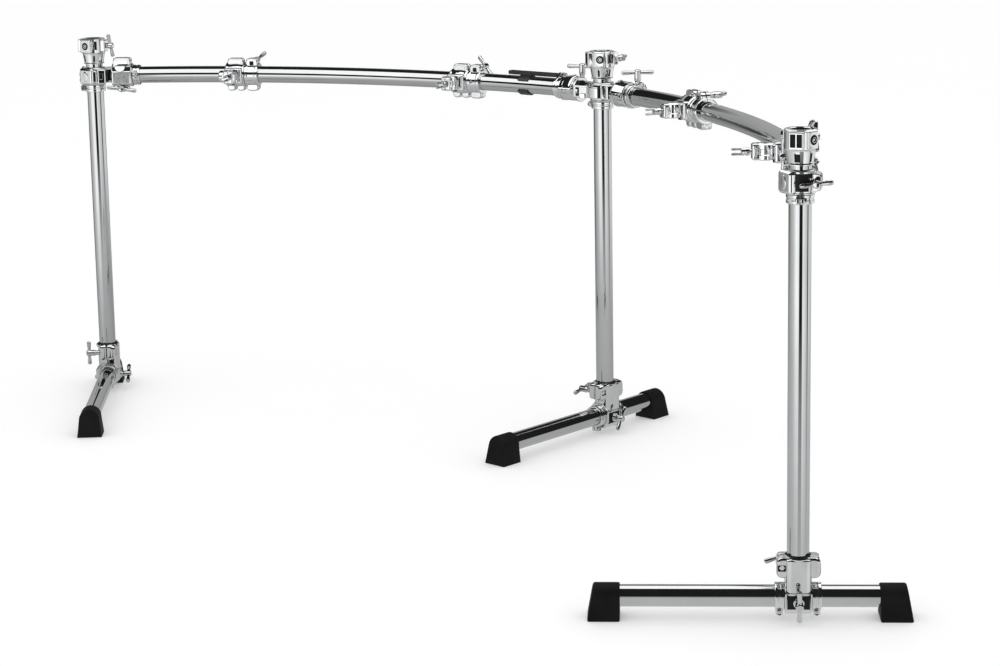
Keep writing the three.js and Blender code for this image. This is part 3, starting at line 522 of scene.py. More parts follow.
def make(name, pattern, place, finish, body, node=None):
    """One piece of the rack from its pattern, put in place and set to ride on its body."""
    mesh = pattern.copy()
    mesh.name = name
    mesh.transform(Matrix.Scale(MM, 4) @ place)
    mesh.polygons.foreach_set("use_smooth", [True] * len(mesh.polygons))
    mesh.set_sharp_from_angle(angle=radians(SMOOTH_UNDER))
    mesh.materials.append(finish)
    piece = set_down(name, mesh)
    flats = piece.modifiers.new("flat_faces", "WEIGHTED_NORMAL")
    flats.keep_sharp = True
    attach(piece, body)
    if node:
        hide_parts(node)


# Screws and bolts
def wing_screw(stem, wing, bite=SCREW_BITE - FIT_GAP, tall=HUB_HEIGHT):
    """A screw along Z with a round hub and a crossbar that swells towards its ends."""
    top = stem + tall
    half = wing / 2
    threads = [(0, -bite), (3.2, -bite)]
    height = -bite + 0.5
    while height < stem - 1.6:
        threads += [(3.4, height), (4.0, height + 0.6), (3.4, height + 1.2)]
        height += THREAD_STEP
    threads += [(3.6, stem), (0, stem)]
    thick = WING_RADIUS + 0.6
    thin = WING_RADIUS * 0.9
    grip = both_ends([
        (0, -half), (thick * 0.7, -half + 0.6), (thick, -half + 3), (thick, -half + 9),
        (thin, -HUB_RADIUS - 3),
    ])
    waist = min(stem + 5, stem * 0.5 + 4)
    crown = [
        (0, 0.4), (HUB_RADIUS * 0.8, 0.4), (HUB_RADIUS * 0.8, waist), (HUB_RADIUS, waist + 2.5),
        (HUB_RADIUS, top - 2.6), (HUB_RADIUS * 0.78, top - 0.6), (0, top),
    ]
    return mesh_of([
        turned(threads, 20),
        turned(rounded(crown, 1.2, closed=False), 36),
        laid(turned(rounded(grip, 1.0, closed=False), 24), shift(0, 0, top - WING_DROP), ALONG_X),
    ])


def pronged_nut():
    """The jaw's wing nut along Z, with two prongs that point outwards."""
    body = [
        (0, -11.7), (3.9, -11.7), (3.9, 3.6), (7.5, 4), (7.5, 9.5), (6.2, 12), (7.0, 18), (0, 18),
    ]
    prong = [(0, 13), (2.8, 13), (2.3, 22), (2.8, 31), (2.2, 35.6), (0, 36)]
    prong = rounded(prong, 0.8, closed=False)
    prongs = [laid(turned(prong, 20), shift(0, y, 0)) for y in (4.6, -4.6)]
    return mesh_of([turned(rounded(body, 1.0, closed=False), 36), *prongs])


def key_bolt(radius=4.6, height=4.0, low=-6):
    """A round bolt head with a square drive in a deep well, along Z from zero."""
    well = radius - 1.2
    rim = [
        (0, low), (well, low), (radius, 0), (radius, height), (well, height), (well, low + 1),
        (0, low + 1),
    ]
    drive = slab((-1.7, 1.7), (-1.7, 1.7), (low, height - 1.2), 0.3)
    return [turned(rounded(rim, 0.4, closed=False), 28), drive]


def hex_bolt(radius, height, seat):
    """A hexagon bolt in a round raised seat, along Z from zero."""
    head = plate(wheel(radius, 6), -1, height, 0.7)
    ring = collar(ALONG_Z, seat - 2, seat, -2, 1.4, 0.6, 40)
    return [head, ring, shaft(ALONG_Z, 2.6, height - 0.5, height + 1.2, 0.3)]


def screw_seat(foot=9, crown=8.4, low=-2, high=0):
    """A raised round seat for a screw, along Z."""
    return turned(rounded([(5, low), (foot, low), (crown, high), (5, high)], 0.5), 36)


def memory_lock():
    """A lock round a tube along X, with its split lug upwards and its bolt across."""
    half = LOCK_LENGTH / 2
    ribs = both_ends([
        (GRIP_BORE, -half), (LOCK_RADIUS - 0.7, -half), (LOCK_RADIUS, -half + 1),
        (LOCK_RADIUS, -2.2), (LOCK_RADIUS - 1, -1.4),
    ])
    ring = laid(turned(rounded(ribs, 0.5), 60, 181.6, 356.8), ALONG_X)
    cheeks = ear_pair(oblong((-6.5, 6.5), (19.6, 33), 4), 7, 1.5, UPRIGHT)
    head = placed(key_bolt(low=-4), shift(0, 7, LOCK_BOLT_RISE), ALONG_Y)
    pin = shaft(ALONG_Y, 2.3, -8.2, 8, 0.4, at=(0, 0, LOCK_BOLT_RISE), sides=18)
    knuckle = shaft(ALONG_X, 3.2, -5.5, 5.5, 0.8, at=(0, 0, -21.2), sides=20)
    return mesh_of([ring, *cheeks, *head, pin, knuckle])


# Castings that grip a post or a bar
def post_sleeve(about):
    """A lipped sleeve that swells in the middle, with its split and ears on +Y, turned about Z."""
    half = SLEEVE_HALF
    line = both_ends([
        (GRIP_BORE, -half), (24.9, -half), (26.1, 1.6 - half), (25.7, 3.84 - half),
        (26.9, -0.35 * half),
    ])
    ears = ear_pair(ear_shape(15, 19, 36), SLEEVE_EAR_THICK, 2.2, ALONG_X)
    return [turned(rounded(line, 0.8), 60, about + 91.4, 357.2), *placed(ears, turn("Z", about))]


def hinge_knuckles(lay, half, radius):
    """Three knuckles on one pin, along Z before they are laid."""
    step = half / 3
    return [
        shaft(lay, radius, -half, -step - 0.3, 1.0),
        shaft(lay, radius * 0.96, -step + 0.3, step - 0.3, 1.0),
        shaft(lay, radius, step + 0.3, half, 1.0),
        shaft(lay, 2.2, -half - 1, half + 1, 0.5),
    ]


def arm_ring(start, sweep):
    """Part of a bar sleeve along X, lipped at both ends."""
    half = ARM_LENGTH / 2
    line = both_ends([
        (GRIP_BORE, -half), (ARM_RADIUS - 1.4, -half), (ARM_RADIUS, -half + 1.2),
        (ARM_RADIUS, -half + 4), (ARM_RADIUS - 1.6, -half + 6), (ARM_RADIUS - 1.0, 0),
    ])
    return laid(turned(rounded(line, 0.8), 48, start, sweep), ALONG_X)


def tee_casting():
    """A post sleeve and the back half of its arm."""
    swell = carved(slab((16, 32), (-20, 20), (-19.6, 19.6), 6), room(ALONG_Z, -30, 30))
    swell = laid(swell, turn("Z", 235))
    lens = [(0, -4), (8, -4), (8, 0.2), (6.4, 1.2), (0, 1.8)]
    badge = laid(
        turned(rounded(lens, 0.8, closed=False), 40),
        turn("Z", 235), shift(31.8, 0, 0), ALONG_X, Matrix.Diagonal((1.6, 1, 1, 1)),
    )
    hinge = placed(hinge_knuckles(ALONG_Z, 18, 6.4), shift(21.5, -20.5, 0))
    notch = slab((14, 22), (-34, -28.4), (-7, 7), 0.4)
    hinge_block = carved(slab((9, 29), (-30, -17), (-18, 17), 3.5), notch)
    rear_hinge = slab((-9, 9), (-33, -22), (-14, 14), 3)
    web = slab((21.4, 46), (2, 20), (-16, 16), 3)
    rib = slab((24, 44), (6, 16), (-18.5, 18.5), 2)
    arm = [
        arm_ring(1.4, 177.2),
        lug(21, 20, 41, EAR_SPLIT, 9, 8, 2.8),
        laid(lug(*SCREW_EAR, -12, -EAR_SPLIT), turn("X", 180)),
        shaft(ALONG_X, 3.4, -21, 21, 0.8, at=(0, 0, 36)),
    ]
    return mesh_of([
        *post_sleeve(0), swell, badge, *hinge, hinge_block, rear_hinge, web, rib,
        *placed(arm, TEE_ARM),
    ])


def tee_door():
    """The front half of a tee's arm, with its hinge tab above and its screw ear below."""
    tab = lug(21, 19, 41, -11, -EAR_SPLIT, edge=3.2)
    face = lug(15.5, 23, 36, -12.2, -10, 5, 1)
    strap = slab((-12.5, 12.5), (-31, -10), (20, 24.5), 1.8)
    tongue = laid(plate(wheel(12.5, 30, 180)[:16], 28.8, 31.4, 1), shift(0, 0, 23), UPRIGHT)
    front = placed([tab, face, strap, tongue], turn("Z", -4))
    sunk = slab((-19, 19), (-34, -28.8), (-16, 9), 0.8)
    border = carved(slab((-23, 23), (-30.2, -20), (-20, 13), 4), sunk)
    ear = laid(lug(*SCREW_EAR, EAR_SPLIT, DOOR_EAR_THICK), turn("X", 180))
    seat = laid(screw_seat(), shift(0, -DOOR_EAR_THICK, -ARM_BOLT_DROP), facing((0, -1, 0)))
    return mesh_of(placed([arm_ring(181.4, 177.2), *front, border, ear, seat], TEE_ARM))


def tee_field():
    """The sunk and blasted panel on the front of a tee's arm."""
    shape = oblong((-18.4, 18.4), (-15.4, 8.4), 3)
    panel = laid(plate(shape, 27.6, 29.4, 0.4), UPRIGHT)
    return mesh_of([laid(panel, TEE_ARM)])


def tee_shade_pad():
    """Black pads that paint the shade in a tee's pocket and under its hinge tab."""
    pocket = collar(ALONG_Z, 25.5, 27.6, -14, 14, 0.6, 24, 146, 46)
    groove = laid(slab((-21, 21), (-29.4, -20), (13, 21), 1.4), TEE_ARM)
    gap = slab((28.5, 34), (-26, -6), (-12.5, 12.5), 0.6)
    return mesh_of([pocket, groove, gap])


def joint_casting():
    """The post sleeve in the middle, as shapes that the bar arms are added to."""
    bolt = placed(key_bolt(5.2, 4.6, -8), shift(-SLEEVE_BOLT_OUT, -15.4, 0), facing((0, -1, 0)))
    block = slab((20, 33), (-15, 13), (-17, 17), 4)
    crown = laid(slab((-12, 12), (-31, -20), (-14, 18), 3), turn("Z", 62))
    webs = [slab(ends, (2, 20), (-16, 16), 4) for ends in ((20, 63), (-63, -20))]
    strap = collar(ALONG_Z, 26, 33, -13, 12, 2.6, 30, 236, 62)
    box = laid(slab((-14, 22), (-9, 9), (-14, 13), 3.2), JOINT_BOX)
    box = carved(box, laid(slab((-7, 2), (-14, -6.5), (-10, 9), 1.2), JOINT_BOX))
    shoulder = slab((-58, -30), (-24, 4), (-12, 12), 3)
    stud = laid(slab((-5.5, 5.5), (-3, 3), (-5, 5), 1), shift(-26, -33.5, -9), turn("Z", 25))
    eye = laid(collar(ALONG_X, 2.2, 5.2, -3, 3, 0.8, 28), shift(-43, -33.5, 0), turn("Z", 18))
    return [*post_sleeve(90), *bolt, block, crown, *webs, strap, box, shoulder, stud, eye]


def joint_shade_pad():
    """Black pads that paint the shade in the centre joint's pocket and behind its straps."""
    pocket = laid(slab((-6.4, 1.4), (-7.2, -5), (-9.4, 8.4), 0.4), JOINT_BOX)
    hollow = shaft(ALONG_X, 9.5, -7, 7, 0.6, at=(-52, -16, 11), sides=36)
    slot = laid(slab((-2, 2), (-32.6, -26.8), (-11.5, 10.5), 0.4), turn("Z", 33))
    return mesh_of([pocket, hollow, slot])


def joint_arm(toward_joint):
    """One bar arm of the centre joint, with its joint on the given side along X."""
    ears = ear_pair(ear_shape(17, 20, 40), JOINT_EAR_THICK, 3)
    seat = laid(screw_seat(9.2, 8.4, 11, 13.4), shift(0, JOINT_BOLT_OUT, 0))
    knuckle = placed(hinge_knuckles(ALONG_X, 17, 7), shift(0, -26, 0))
    flange = -toward_joint * (ARM_LENGTH / 2 - 3)
    rim = collar(ALONG_X, GRIP_BORE, 27, flange - 3, flange + 3, 1.2)
    far = -toward_joint * ARM_LENGTH / 2
    root = toward_joint * 16
    swell = [
        (GRIP_BORE + 4, far), (25.5, far), (26.6, far + toward_joint * 3), (30, 0),
        (32, root - toward_joint * 4), (30.5, root), (GRIP_BORE + 4, root),
    ]
    shell = laid(turned(rounded(swell, 2.4), 30, 188, 92), ALONG_X)
    seams = (
        (sorted((far - toward_joint * 2, 0)), (-2.2, -0.8)),
        ((-0.7, 0.7), (-8, -0.8)),
        (sorted((0, toward_joint * 40)), (-8, -6.6)),
    )
    shell = carved(shell, *[slab(run, (-40, -22), height, 0) for run, height in seams])
    ribs = [collar(ALONG_X, 25.4, 28.6, x - 2.6, x + 2.6, 1.8, 30, 100, 150) for x in (-9, 5)]
    return [arm_ring(91.4, 357.2), *ears, seat, *knuckle, rim, shell, *ribs]


# Receivers: a tapered neck, a head with bolts round it, and a lined socket, with black panes and a
# disc that paint shade
BUSH_OUTSIDE = RECEIVER_BORE + BUSH_WALL
SOCKET_FLOOR = RECEIVER_RISE + POST_SEAT + FIT_GAP


def receiver_casting(bolt_turn, face_half, face_out):
    low, neck, middle, top = RECEIVER_RISE, RECEIVER_NECK, RECEIVER_MIDDLE, RECEIVER_TOP
    floor = SOCKET_FLOOR
    post_liner = GRIP_BORE + BUSH_WALL
    body = turned([
        (post_liner, low), (22.8, low), (23.1, low + 1.4), (22.6, low + 3), (22.1, low + 4.5),
        (25.2, neck - 3), (25.6, neck - 1.2), (27, neck + 0.6), (27, top - 4.4),
        (26.2, top - 3.8), (26.2, top - 3.2), (27, top - 2.6), (27, top - 0.9), (26, top),
        (BUSH_OUTSIDE + 0.9, top), (BUSH_OUTSIDE, top - 0.9), (BUSH_OUTSIDE, floor + 5),
        (0, floor + 5), (0, floor), (post_liner, floor),
    ], 72)
    window = slab((20, 34), (-8, 8), (middle - 10, middle + 11), 0.8)
    slots = [
        laid(slab((18, 30), (-half, half), (low + 5.5, neck - 5), 1.2), turn("Z", angle))
        for angle, half in ((-60, 2.2), (-120, 2.2), (180, 5))
    ]
    body = carved(body, laid(window, turn("Z", -60)), *slots)
    panes = [slab((-40, -29), y, (neck + 5.5, top - 5.5), 0.5) for y in ((-10, -0.9), (0.9, 10))]
    rear_boss = carved(slab((-34, -20), (-13, 13), (neck + 1, top - 1.5), 2.4), *panes)
    screw_boss = slab((20, 34), (-10, 10), (neck + 3, top - 3), 2.4)
    seat = laid(screw_seat(8.6, 8.2), shift(RECEIVER_FACE, 0, middle), ALONG_X)
    side = turn("Z", bolt_turn)
    wells = [
        shaft(ALONG_X, 8.6, face_out - 3, 40, 0.2, at=(0, 0, middle), sides=40)
        for _ in range(2)
    ]
    face = slab((14, face_out), (-face_half, face_half), (neck + 0.6, top - 0.8), 2.6)
    face = laid(carved(face, wells[0], room(ALONG_Z, low, top + 10, BUSH_OUTSIDE)), side)
    body = carved(body, laid(wells[1], side))
    bolt = placed(key_bolt(4.8, 3.4, -3), side, shift(face_out - 2, 0, middle), ALONG_X)
    back = [shaft(ALONG_Z, 4, 20, 29, 0.3), slab((-4.5, 4.5), (-4.5, 4.5), (28, 34), 1)]
    back = placed(back, turn("Z", 80), shift(0, 0, top - 10), ALONG_X, turn("Z", 20))
    pad = laid(slab((18, 28), (-9, 9), (neck + 8, top - 2), 2), turn("Z", 80))
    return mesh_of([body, rear_boss, screw_boss, seat, face, *bolt, *back, pad])


def receiver_bush_and_shade(bolt_turn, face_out):
    """The black bush inside a receiver, seen in its socket, windows and slots, with black panes
    behind its rear windows and a black disc in its bolt well that paint shade.
    """
    floor, top = SOCKET_FLOOR, RECEIVER_TOP
    upper = collar(ALONG_Z, RECEIVER_BORE, BUSH_OUTSIDE, floor + 5, top - 1.5, 0.4)
    lower = collar(
        ALONG_Z, GRIP_BORE, GRIP_BORE + BUSH_WALL, RECEIVER_RISE + 0.4, floor - 0.2, 0.4
    )
    panes = slab((-30.4, -28.6), (-11, 11), (RECEIVER_NECK + 4.5, top - 4.5), 0.2)
    spot = (0, 0, RECEIVER_MIDDLE)
    disc = shaft(ALONG_X, 8.4, face_out - 5, face_out - 1.6, 0.2, at=spot, sides=40)
    return mesh_of([upper, lower, panes, laid(disc, turn("Z", bolt_turn))])


# Leg sockets
def socket_ear(side):
    """The end of the ear that the post screw goes through, on one side or the other."""
    return shift(SOCKET_SCREW_OUT, side * SOCKET_EAR_THICK, SOCKET_SCREW_HEIGHT)


def leg_socket_casting():
    half = LEG_SLEEVE_LENGTH / 2
    prism = plate(wheel(LEG_SLEEVE_FLAT / cos(pi / 8), 8, 22.5), -half, half, 2.2)
    sleeve = laid(carved(prism, room(ALONG_Z, -half - 5, half + 5)), ALONG_X)
    split = slab((-half - 1, half + 1), (14, 40), (12.8, 14.0), 0)
    sleeve = carved(sleeve, split, slab((-20.5, 20.5), (24.2, 40), (-17, 12), 3))
    tube_screw_seat = laid(collar(ALONG_Y, 4.5, 9.4, 24, 29.6, 1.4), shift(0, 0, -TUBE_SCREW_DROP))
    line = [
        (GRIP_BORE, SOCKET_SEAT), (19.4, SOCKET_SEAT - 1), (0, SOCKET_SEAT - 1), (0, 20),
        (22.5, 20), (22.9, 32), (22.6, 40), (22.8, 62), (25.8, 66), (27, 69.6),
        (26.6, SOCKET_RIM), (25, 71.4), (24, SOCKET_RIM), (GRIP_BORE, SOCKET_RIM),
    ]
    slits = [slab((0, 45), (-EAR_SPLIT, EAR_SPLIT), (30, 90), 0) for _ in range(2)]
    post_rooms = [room(ALONG_Z, SOCKET_SEAT, 90) for _ in range(2)]
    sleeve_up = carved(turned(line, 64), slits[0])
    column = plate(oblong((-22.5, 22.5), (-15, 26.4), 11), 7, 70.5, 3)
    column = carved(column, room(), slits[1], post_rooms[0])
    cheek = [(18, 37)] + oblong((18, 36), (37, 74), 10)[5:15] + [(18, 74)]
    ears = ear_pair(cheek, SOCKET_EAR_THICK, 3.4, UPRIGHT)
    far_ear = laid(plate([(-x, z) for x, z in reversed(cheek)], -13, 13, 3.4), UPRIGHT)
    pins = placed(hinge_knuckles(ALONG_Z, 16, 6.4), shift(-29.5, -9, SOCKET_SCREW_HEIGHT))
    seat = laid(screw_seat(), socket_ear(-1), facing((0, -1, 0)))
    nut = laid(plate(wheel(5, 6), 0, 3.4, 0.8), socket_ear(1), ALONG_Y)
    apron = laid(plate(oblong((-37.5, 37.5), (37, 73), 11), -21.6, -8, 5), UPRIGHT)
    nut_pocket = slab((21.5, 35), (16, 30), (49.5, 60.5), 1)
    apron = carved(apron, nut_pocket, post_rooms[1])
    foot_hinge = placed(hinge_knuckles(ALONG_X, 20, 5), shift(0, -27, -6))
    return mesh_of([
        sleeve, tube_screw_seat, sleeve_up, column, *ears, far_ear, apron, *pins, seat, nut,
        *foot_hinge,
    ])


def leg_socket_shade_pad():
    """Black pads that paint the shade of a leg socket, in its hollow, round its rim and in its
    pocket.
    """
    pad = carved(slab((-19.9, 19.9), (22.4, 24.6), (-16.4, 11.4), 0.6), room())
    rim = SOCKET_RIM + 0.1
    ring = turned([
        (GRIP_BORE, rim), (24.6, rim), (24.8, 71.8), (20.6, SOCKET_TOP), (GRIP_BORE, SOCKET_TOP),
    ])
    pocket = slab((21.2, 35.3), (15.2, 16.6), (49.2, 60.8), 0.3)
    return mesh_of([pad, ring, pocket])


def rubber_foot():
    """A foot at the +X end of a leg, its outer edge at zero and its sole on the floor."""
    arch = FOOT_HEIGHT - LEG_HEIGHT
    crown = [(x, LEG_HEIGHT + y) for x, y in wheel(arch, 36)[:19]]
    outline = [(-FOOT_HALF_WIDTH, 0), (FOOT_HALF_WIDTH, 0), *crown]
    swap = Matrix(((0, 0, 1, 0), (1, 0, 0, 0), (0, 1, 0, 0), (0, 0, 0, 1)))
    work = laid(plate(outline, -FOOT_LENGTH, 0, 3.2), swap)
    for vert in work.verts:
        share = min(max((vert.co.x + FOOT_LENGTH) / 40, 0), 1)
        vert.co.x -= FOOT_SLOPE * vert.co.z / FOOT_HEIGHT * share
    ends = (-FOOT_LENGTH, -FOOT_LENGTH + 4)
    lip = collar(ALONG_X, TUBE_RADIUS + 0.2, arch - 0.6, *ends, 0.9, 48)
    return mesh_of([work, laid(lip, shift(0, 0, LEG_HEIGHT))])


# Clamps
def clamp_jaw():
    half = JAW_LENGTH / 2
    line = both_ends([
        (GRIP_BORE, -half), (26.4, -half), (28.6, -half + 3), (28, -half + 7), (29, -4),
    ])
    ring = laid(turned(rounded(line, 1.2), 64), ALONG_X)
    ring = carved(ring, slab((-half - 1, half + 1), (-0.5, 0.5), (15, 45), 0))
    tab = [lug(19, 20, 38, 0.5, 9), lug(19, 20, 38, -10, -0.5)]
    tab_face = lug(13, 22, 33.5, -11, -9, 5, 0.8)
    tongue = laid(plate(wheel(7, 36), 9, 12, 0.8), shift(0, 0, 22), UPRIGHT)
    lobes = [
        laid(lug(9.4, 20, 38, -11, 9, 8, 3.4), shift(x, 0, 0), turn("X", 180)) for x in (-11.5, 11)
    ]
    neck = carved(slab((-13, 13), (-42, -19), (-12.5, 12.5), 4), room())
    rim = both_ends([(9.5, -14), (10.5, -15), (15, -15), (17, -13), (17, -6), (15.6, -4.5)])
    eye = laid(turned(rim, 48), shift(0, -JAW_HOLE_OUT, 0))
    slot = slab((-1, 1), (-JAW_BLOCK_REACH - 1, -56), (-20, 20), 0)
    stub = carved(slab((-12, 12), (-JAW_BLOCK_REACH, -58), (-15, 15), 4), slot)
    grip = slab((-16, 16), (-JAW_BLOCK_REACH + 3, -JAW_BLOCK_REACH + 9), (-8, 8), 2)
    block_bolts = [
        *placed(key_bolt(4.2, 3.4, -3), shift(-12.5, -66, 0), facing((-1, 0, 0))),
        laid(plate(wheel(5, 6), -2, 3, 0.7), shift(12.5, -66, 0), ALONG_X),
    ]
    lip = rounded([(9.6, -0.4), (12.4, -0.4), (11.6, 1.0), (9.6, 1.0)], 0.4)
    lips = [
        laid(turned(lip, 40), shift(0, -JAW_HOLE_OUT, rise), over)
        for rise, over in ((JAW_HOLE_TOP, ALONG_Z), (-JAW_HOLE_TOP, turn("X", 180)))
    ]
    well = shaft(ALONG_X, 9.4, -60, -half - 5, 0.2, at=JAW_BOSS, sides=36)
    boss = shaft(ALONG_X, 14, -half - 9, 6, 3.4, at=JAW_BOSS, sides=48)
    boss = carved(boss, well, room())
    bolt = hex_bolt(4.4, 2.2, 6.2)
    bolt = placed(bolt, shift(*JAW_BOSS) @ shift(-half - 6.4), facing((-1, 0, 0)))
    cheeks = carved(slab((-21, 21), (-35, -20), (-20, 18), 5), room())
    return mesh_of([
        ring, *tab, tab_face, tongue, *lobes, neck, eye, stub, grip, *block_bolts, *lips, boss,
        *bolt, cheeks,
    ])


def clamp_jaw_shade_pad():
    """Black pads that paint the shade of a jaw, in its bolt's well and between its lobes."""
    half = JAW_LENGTH / 2
    floor = shaft(ALONG_X, 9.2, -half - 6, -half - 4.6, 0.2, at=JAW_BOSS, sides=36)
    gap = slab((-3, 4), (-35.6, -27), (-20.6, -11), 0.6)
    seam = carved(slab((-20, 20), (-10.4, 8), (18, 21.4), 0.6), room())
    return mesh_of([floor, gap, seam])


def clamp_band():
    half = BAND_LENGTH / 2
    line = both_ends([
        (GRIP_BORE, -half), (25.4, -half), (27, -half + 1.4), (27, -half + 6), (26.2, -half + 8),
    ])
    ring = laid(turned(rounded(line, 0.7), 60, 181.3, 357.4), ALONG_X)
    near_ear = lug(*SCREW_EAR, -12, -EAR_SPLIT)
    near_ear = carved(near_ear, slab((-5, 5), (-20, -9), (21, 31.5), 1.6))
    far_ear = lug(*SCREW_EAR, EAR_SPLIT, BAND_EAR_THICK)
    hinge = laid(lug(14, 19, 38, -13, 10, edge=3.4), turn("X", 180))
    pin = shaft(ALONG_X, 4.2, -14.5, 14.5, 1, at=(0, 0, -31))
    seat = laid(screw_seat(8.6, 8), shift(0, BAND_EAR_THICK, BAND_SCREW_HEIGHT), ALONG_Y)
    nut = laid(plate(wheel(4, 6), -2, 2.4, 0.7), shift(0, -10, 34.4), facing((0, -1, 0)))
    return mesh_of(placed([ring, far_ear, near_ear, hinge, pin, seat, nut], shift(BAND_MIDDLE)))


def clamp_band_shade_pad():
    """A black block that paints the shade in the notch of a band's near ear."""
    block = slab((-4.8, 4.8), (-10.2, -8.4), (21.2, 31.3), 0.6)
    return mesh_of([laid(block, shift(BAND_MIDDLE))])


def key_clip():
    """A spring clip round the bar with a shallow tray on its back."""
    outer = GRIP_BORE + 3.3
    ring = collar(ALONG_X, GRIP_BORE, outer, -13, 13, 0.8, 60, 301, 298)
    saddle = slab((-13, 13), (-4, 16), (outer - 3, outer + 3), 2)
    inside = oblong((-TRAY_BACK + 3, TRAY_AHEAD - 3), (1, 13), 5.5)
    tray = plate(oblong((-TRAY_BACK, TRAY_AHEAD), (-2, 16), 8.5), outer - 2, outer + 6, 1.6)
    tray = carved(tray, plate(inside, outer + 1, outer + 20, 0.8))
    return mesh_of([ring, saddle, tray])


# Every casting once, then a piece of it in each of its places
WING_SCREWS = {
    "post": wing_screw(POST_SCREW_STEM, SHORT_WING),
    "low": wing_screw(LOW_STEM, LONG_WING),
    "high": wing_screw(HIGH_STEM, LONG_WING),
    "middle": wing_screw(MIDDLE_STEM, SHORT_WING),
    "receiver": wing_screw(RECEIVER_STEM, SHORT_WING, 11.7, 17),
    "leg": wing_screw(POST_SCREW_STEM, SHORT_WING, 6),
}
LOCK = memory_lock()


def put_screw(name, kind, place, outward, spin):
    make(name, WING_SCREWS[kind], place @ facing(outward, spin), SCREW_CHROME, name, name)


def make_pair(node, cast, shade_pad, place, body):
    """A casting in the place of its solid, and the black pads in it that paint its shade."""
    make(f"{node}_casting", cast, place, CAST_CHROME, body, node)
    make(f"{node}_insert", shade_pad, place, BUSH_AND_SHADE_NYLON, body)


def straight_tube(lay, low, high):
    return mesh_of([collar(lay, TUBE_RADIUS - TUBE_WALL, TUBE_RADIUS, low, high, 0.4, 72)])


# Bars with their memory locks, each lock with its place along the bar and its turn
TEE_END = TEE_ARM_MIDDLE - ARM_LENGTH / 2 + BAR_END_GAP
JOINT_END = JOINT_ARM_MIDDLE - ARM_LENGTH / 2 + BAR_END_GAP
BARS = (
    ("left", TEE_END, BAR_ARC - JOINT_END, (TEE_LOCK, 86), (BAR_ARC - JOINT_LOCK, -10)),
    ("right", JOINT_END, BAR_ARC - TEE_END, (JOINT_LOCK, -40), (BAR_ARC - TEE_LOCK, -40)),
)
for bar, begin, finish, *locks in BARS:
    tube = mesh_of([bent_tube(TUBE_RADIUS, TUBE_RADIUS - TUBE_WALL, begin, finish)])
    make(f"{bar}_bar_tube", tube, on_bar(bar, 0), TUBE_CHROME, "rack_top", f"{bar}_bar")
    for number, (spot, lean) in enumerate(locks, 1):
        place = on_bar(bar, spot) @ turn("X", lean)
        make(f"{bar}_bar_lock_{number}", LOCK, place, CAST_CHROME, "rack_top")

# Side tees
TEE_CAST = tee_casting()
TEE_DOOR = tee_door()
TEE_FIELD = tee_field()
TEE_SHADE_PAD = tee_shade_pad()
for side, sleeve_spin, arm_spin in (("left", 60, -8), ("right", -82, 85)):
    place = TEE_PLACES[side]
    tee = f"{side}_tee"
    make(f"{tee}_casting", TEE_CAST, place, CAST_CHROME, "rack_top", tee)
    make(f"{tee}_door", TEE_DOOR, place, CAST_CHROME, "rack_top", f"{tee}_arm_door")
    make(f"{tee}_field", TEE_FIELD, place, BLASTED_CHROME, "rack_top")
    # Black pads that paint the shade in the tee's pocket and under its tab
    make(f"{tee}_insert", TEE_SHADE_PAD, place, BUSH_AND_SHADE_NYLON, "rack_top")
    ear = place @ shift(-SLEEVE_EAR_THICK, SLEEVE_BOLT_OUT, 0)
    put_screw(f"{tee}_post_screw", "post", ear, (-1, 0, 0), sleeve_spin)
    ear = place @ TEE_ARM @ shift(0, -DOOR_EAR_THICK, -ARM_BOLT_DROP)
    put_screw(f"{tee}_bar_screw", "low", ear, (0, -1, 0), arm_spin)

# Centre joint
joint_shapes = joint_casting()
for bar, toward in (("left", 1), ("right", -1)):
    joint_shapes += placed(joint_arm(toward), JOINT_ARMS[bar])
# The joint's black pads paint the shade in its pocket and behind its straps
make_pair("centre_joint", mesh_of(joint_shapes), joint_shade_pad(), CENTRE_PLACE, "rack_top")
for bar, spin in (("left", 20), ("right", 62)):
    ear = CENTRE_PLACE @ JOINT_ARMS[bar] @ shift(0, JOINT_BOLT_OUT, JOINT_EAR_THICK)
    put_screw(f"joint_{bar}_bar_screw", "high", ear, (0, 0, 1), spin)

# Posts with their locks and receivers: turns of lock and screw, and the receiver's bolt face
POST_TUBE = straight_tube(ALONG_Z, POST_LOW, POST_HIGH)
STANDS = (
    ("left", -125, 30, 20, -100, 15, 31),
    ("centre", -170, 60, 75, -112, 9, 27.6),
    ("right", -48, 120, 25, -120, 12, 29.4),
)
for side, lock_turn, screw_turn, screw_spin, bolt_turn, face_half, face_out in STANDS:
    foot = POST_PLACES[side]
    make(f"{side}_post_tube", POST_TUBE, foot, TUBE_CHROME, f"{side}_stand", f"{side}_post")
    lock = foot @ shift(0, 0, BAR_HEIGHT - POST_LOCK_DROP) @ turn("Z", lock_turn) @ ALONG_X
    make(f"{side}_post_memory_lock", LOCK, lock, CAST_CHROME, "rack_top", f"{side}_post_lock")
    crown = foot @ shift(0, 0, BAR_HEIGHT) @ turn("Z", screw_turn)
    body = f"{side}_receiver"
    cast = receiver_casting(bolt_turn, face_half, face_out)
    # The receiver's black bush, with panes and a disc in it that paint shade
    bush = receiver_bush_and_shade(bolt_turn, face_out)
    make(f"{body}_casting", cast, crown, CAST_CHROME, body, body)
    make(f"{body}_bush", bush, crown, BUSH_AND_SHADE_NYLON, body)
    boss = crown @ shift(RECEIVER_FACE, 0, RECEIVER_MIDDLE)
    put_screw(f"{body}_screw", "receiver", boss, (1, 0, 0), screw_spin)

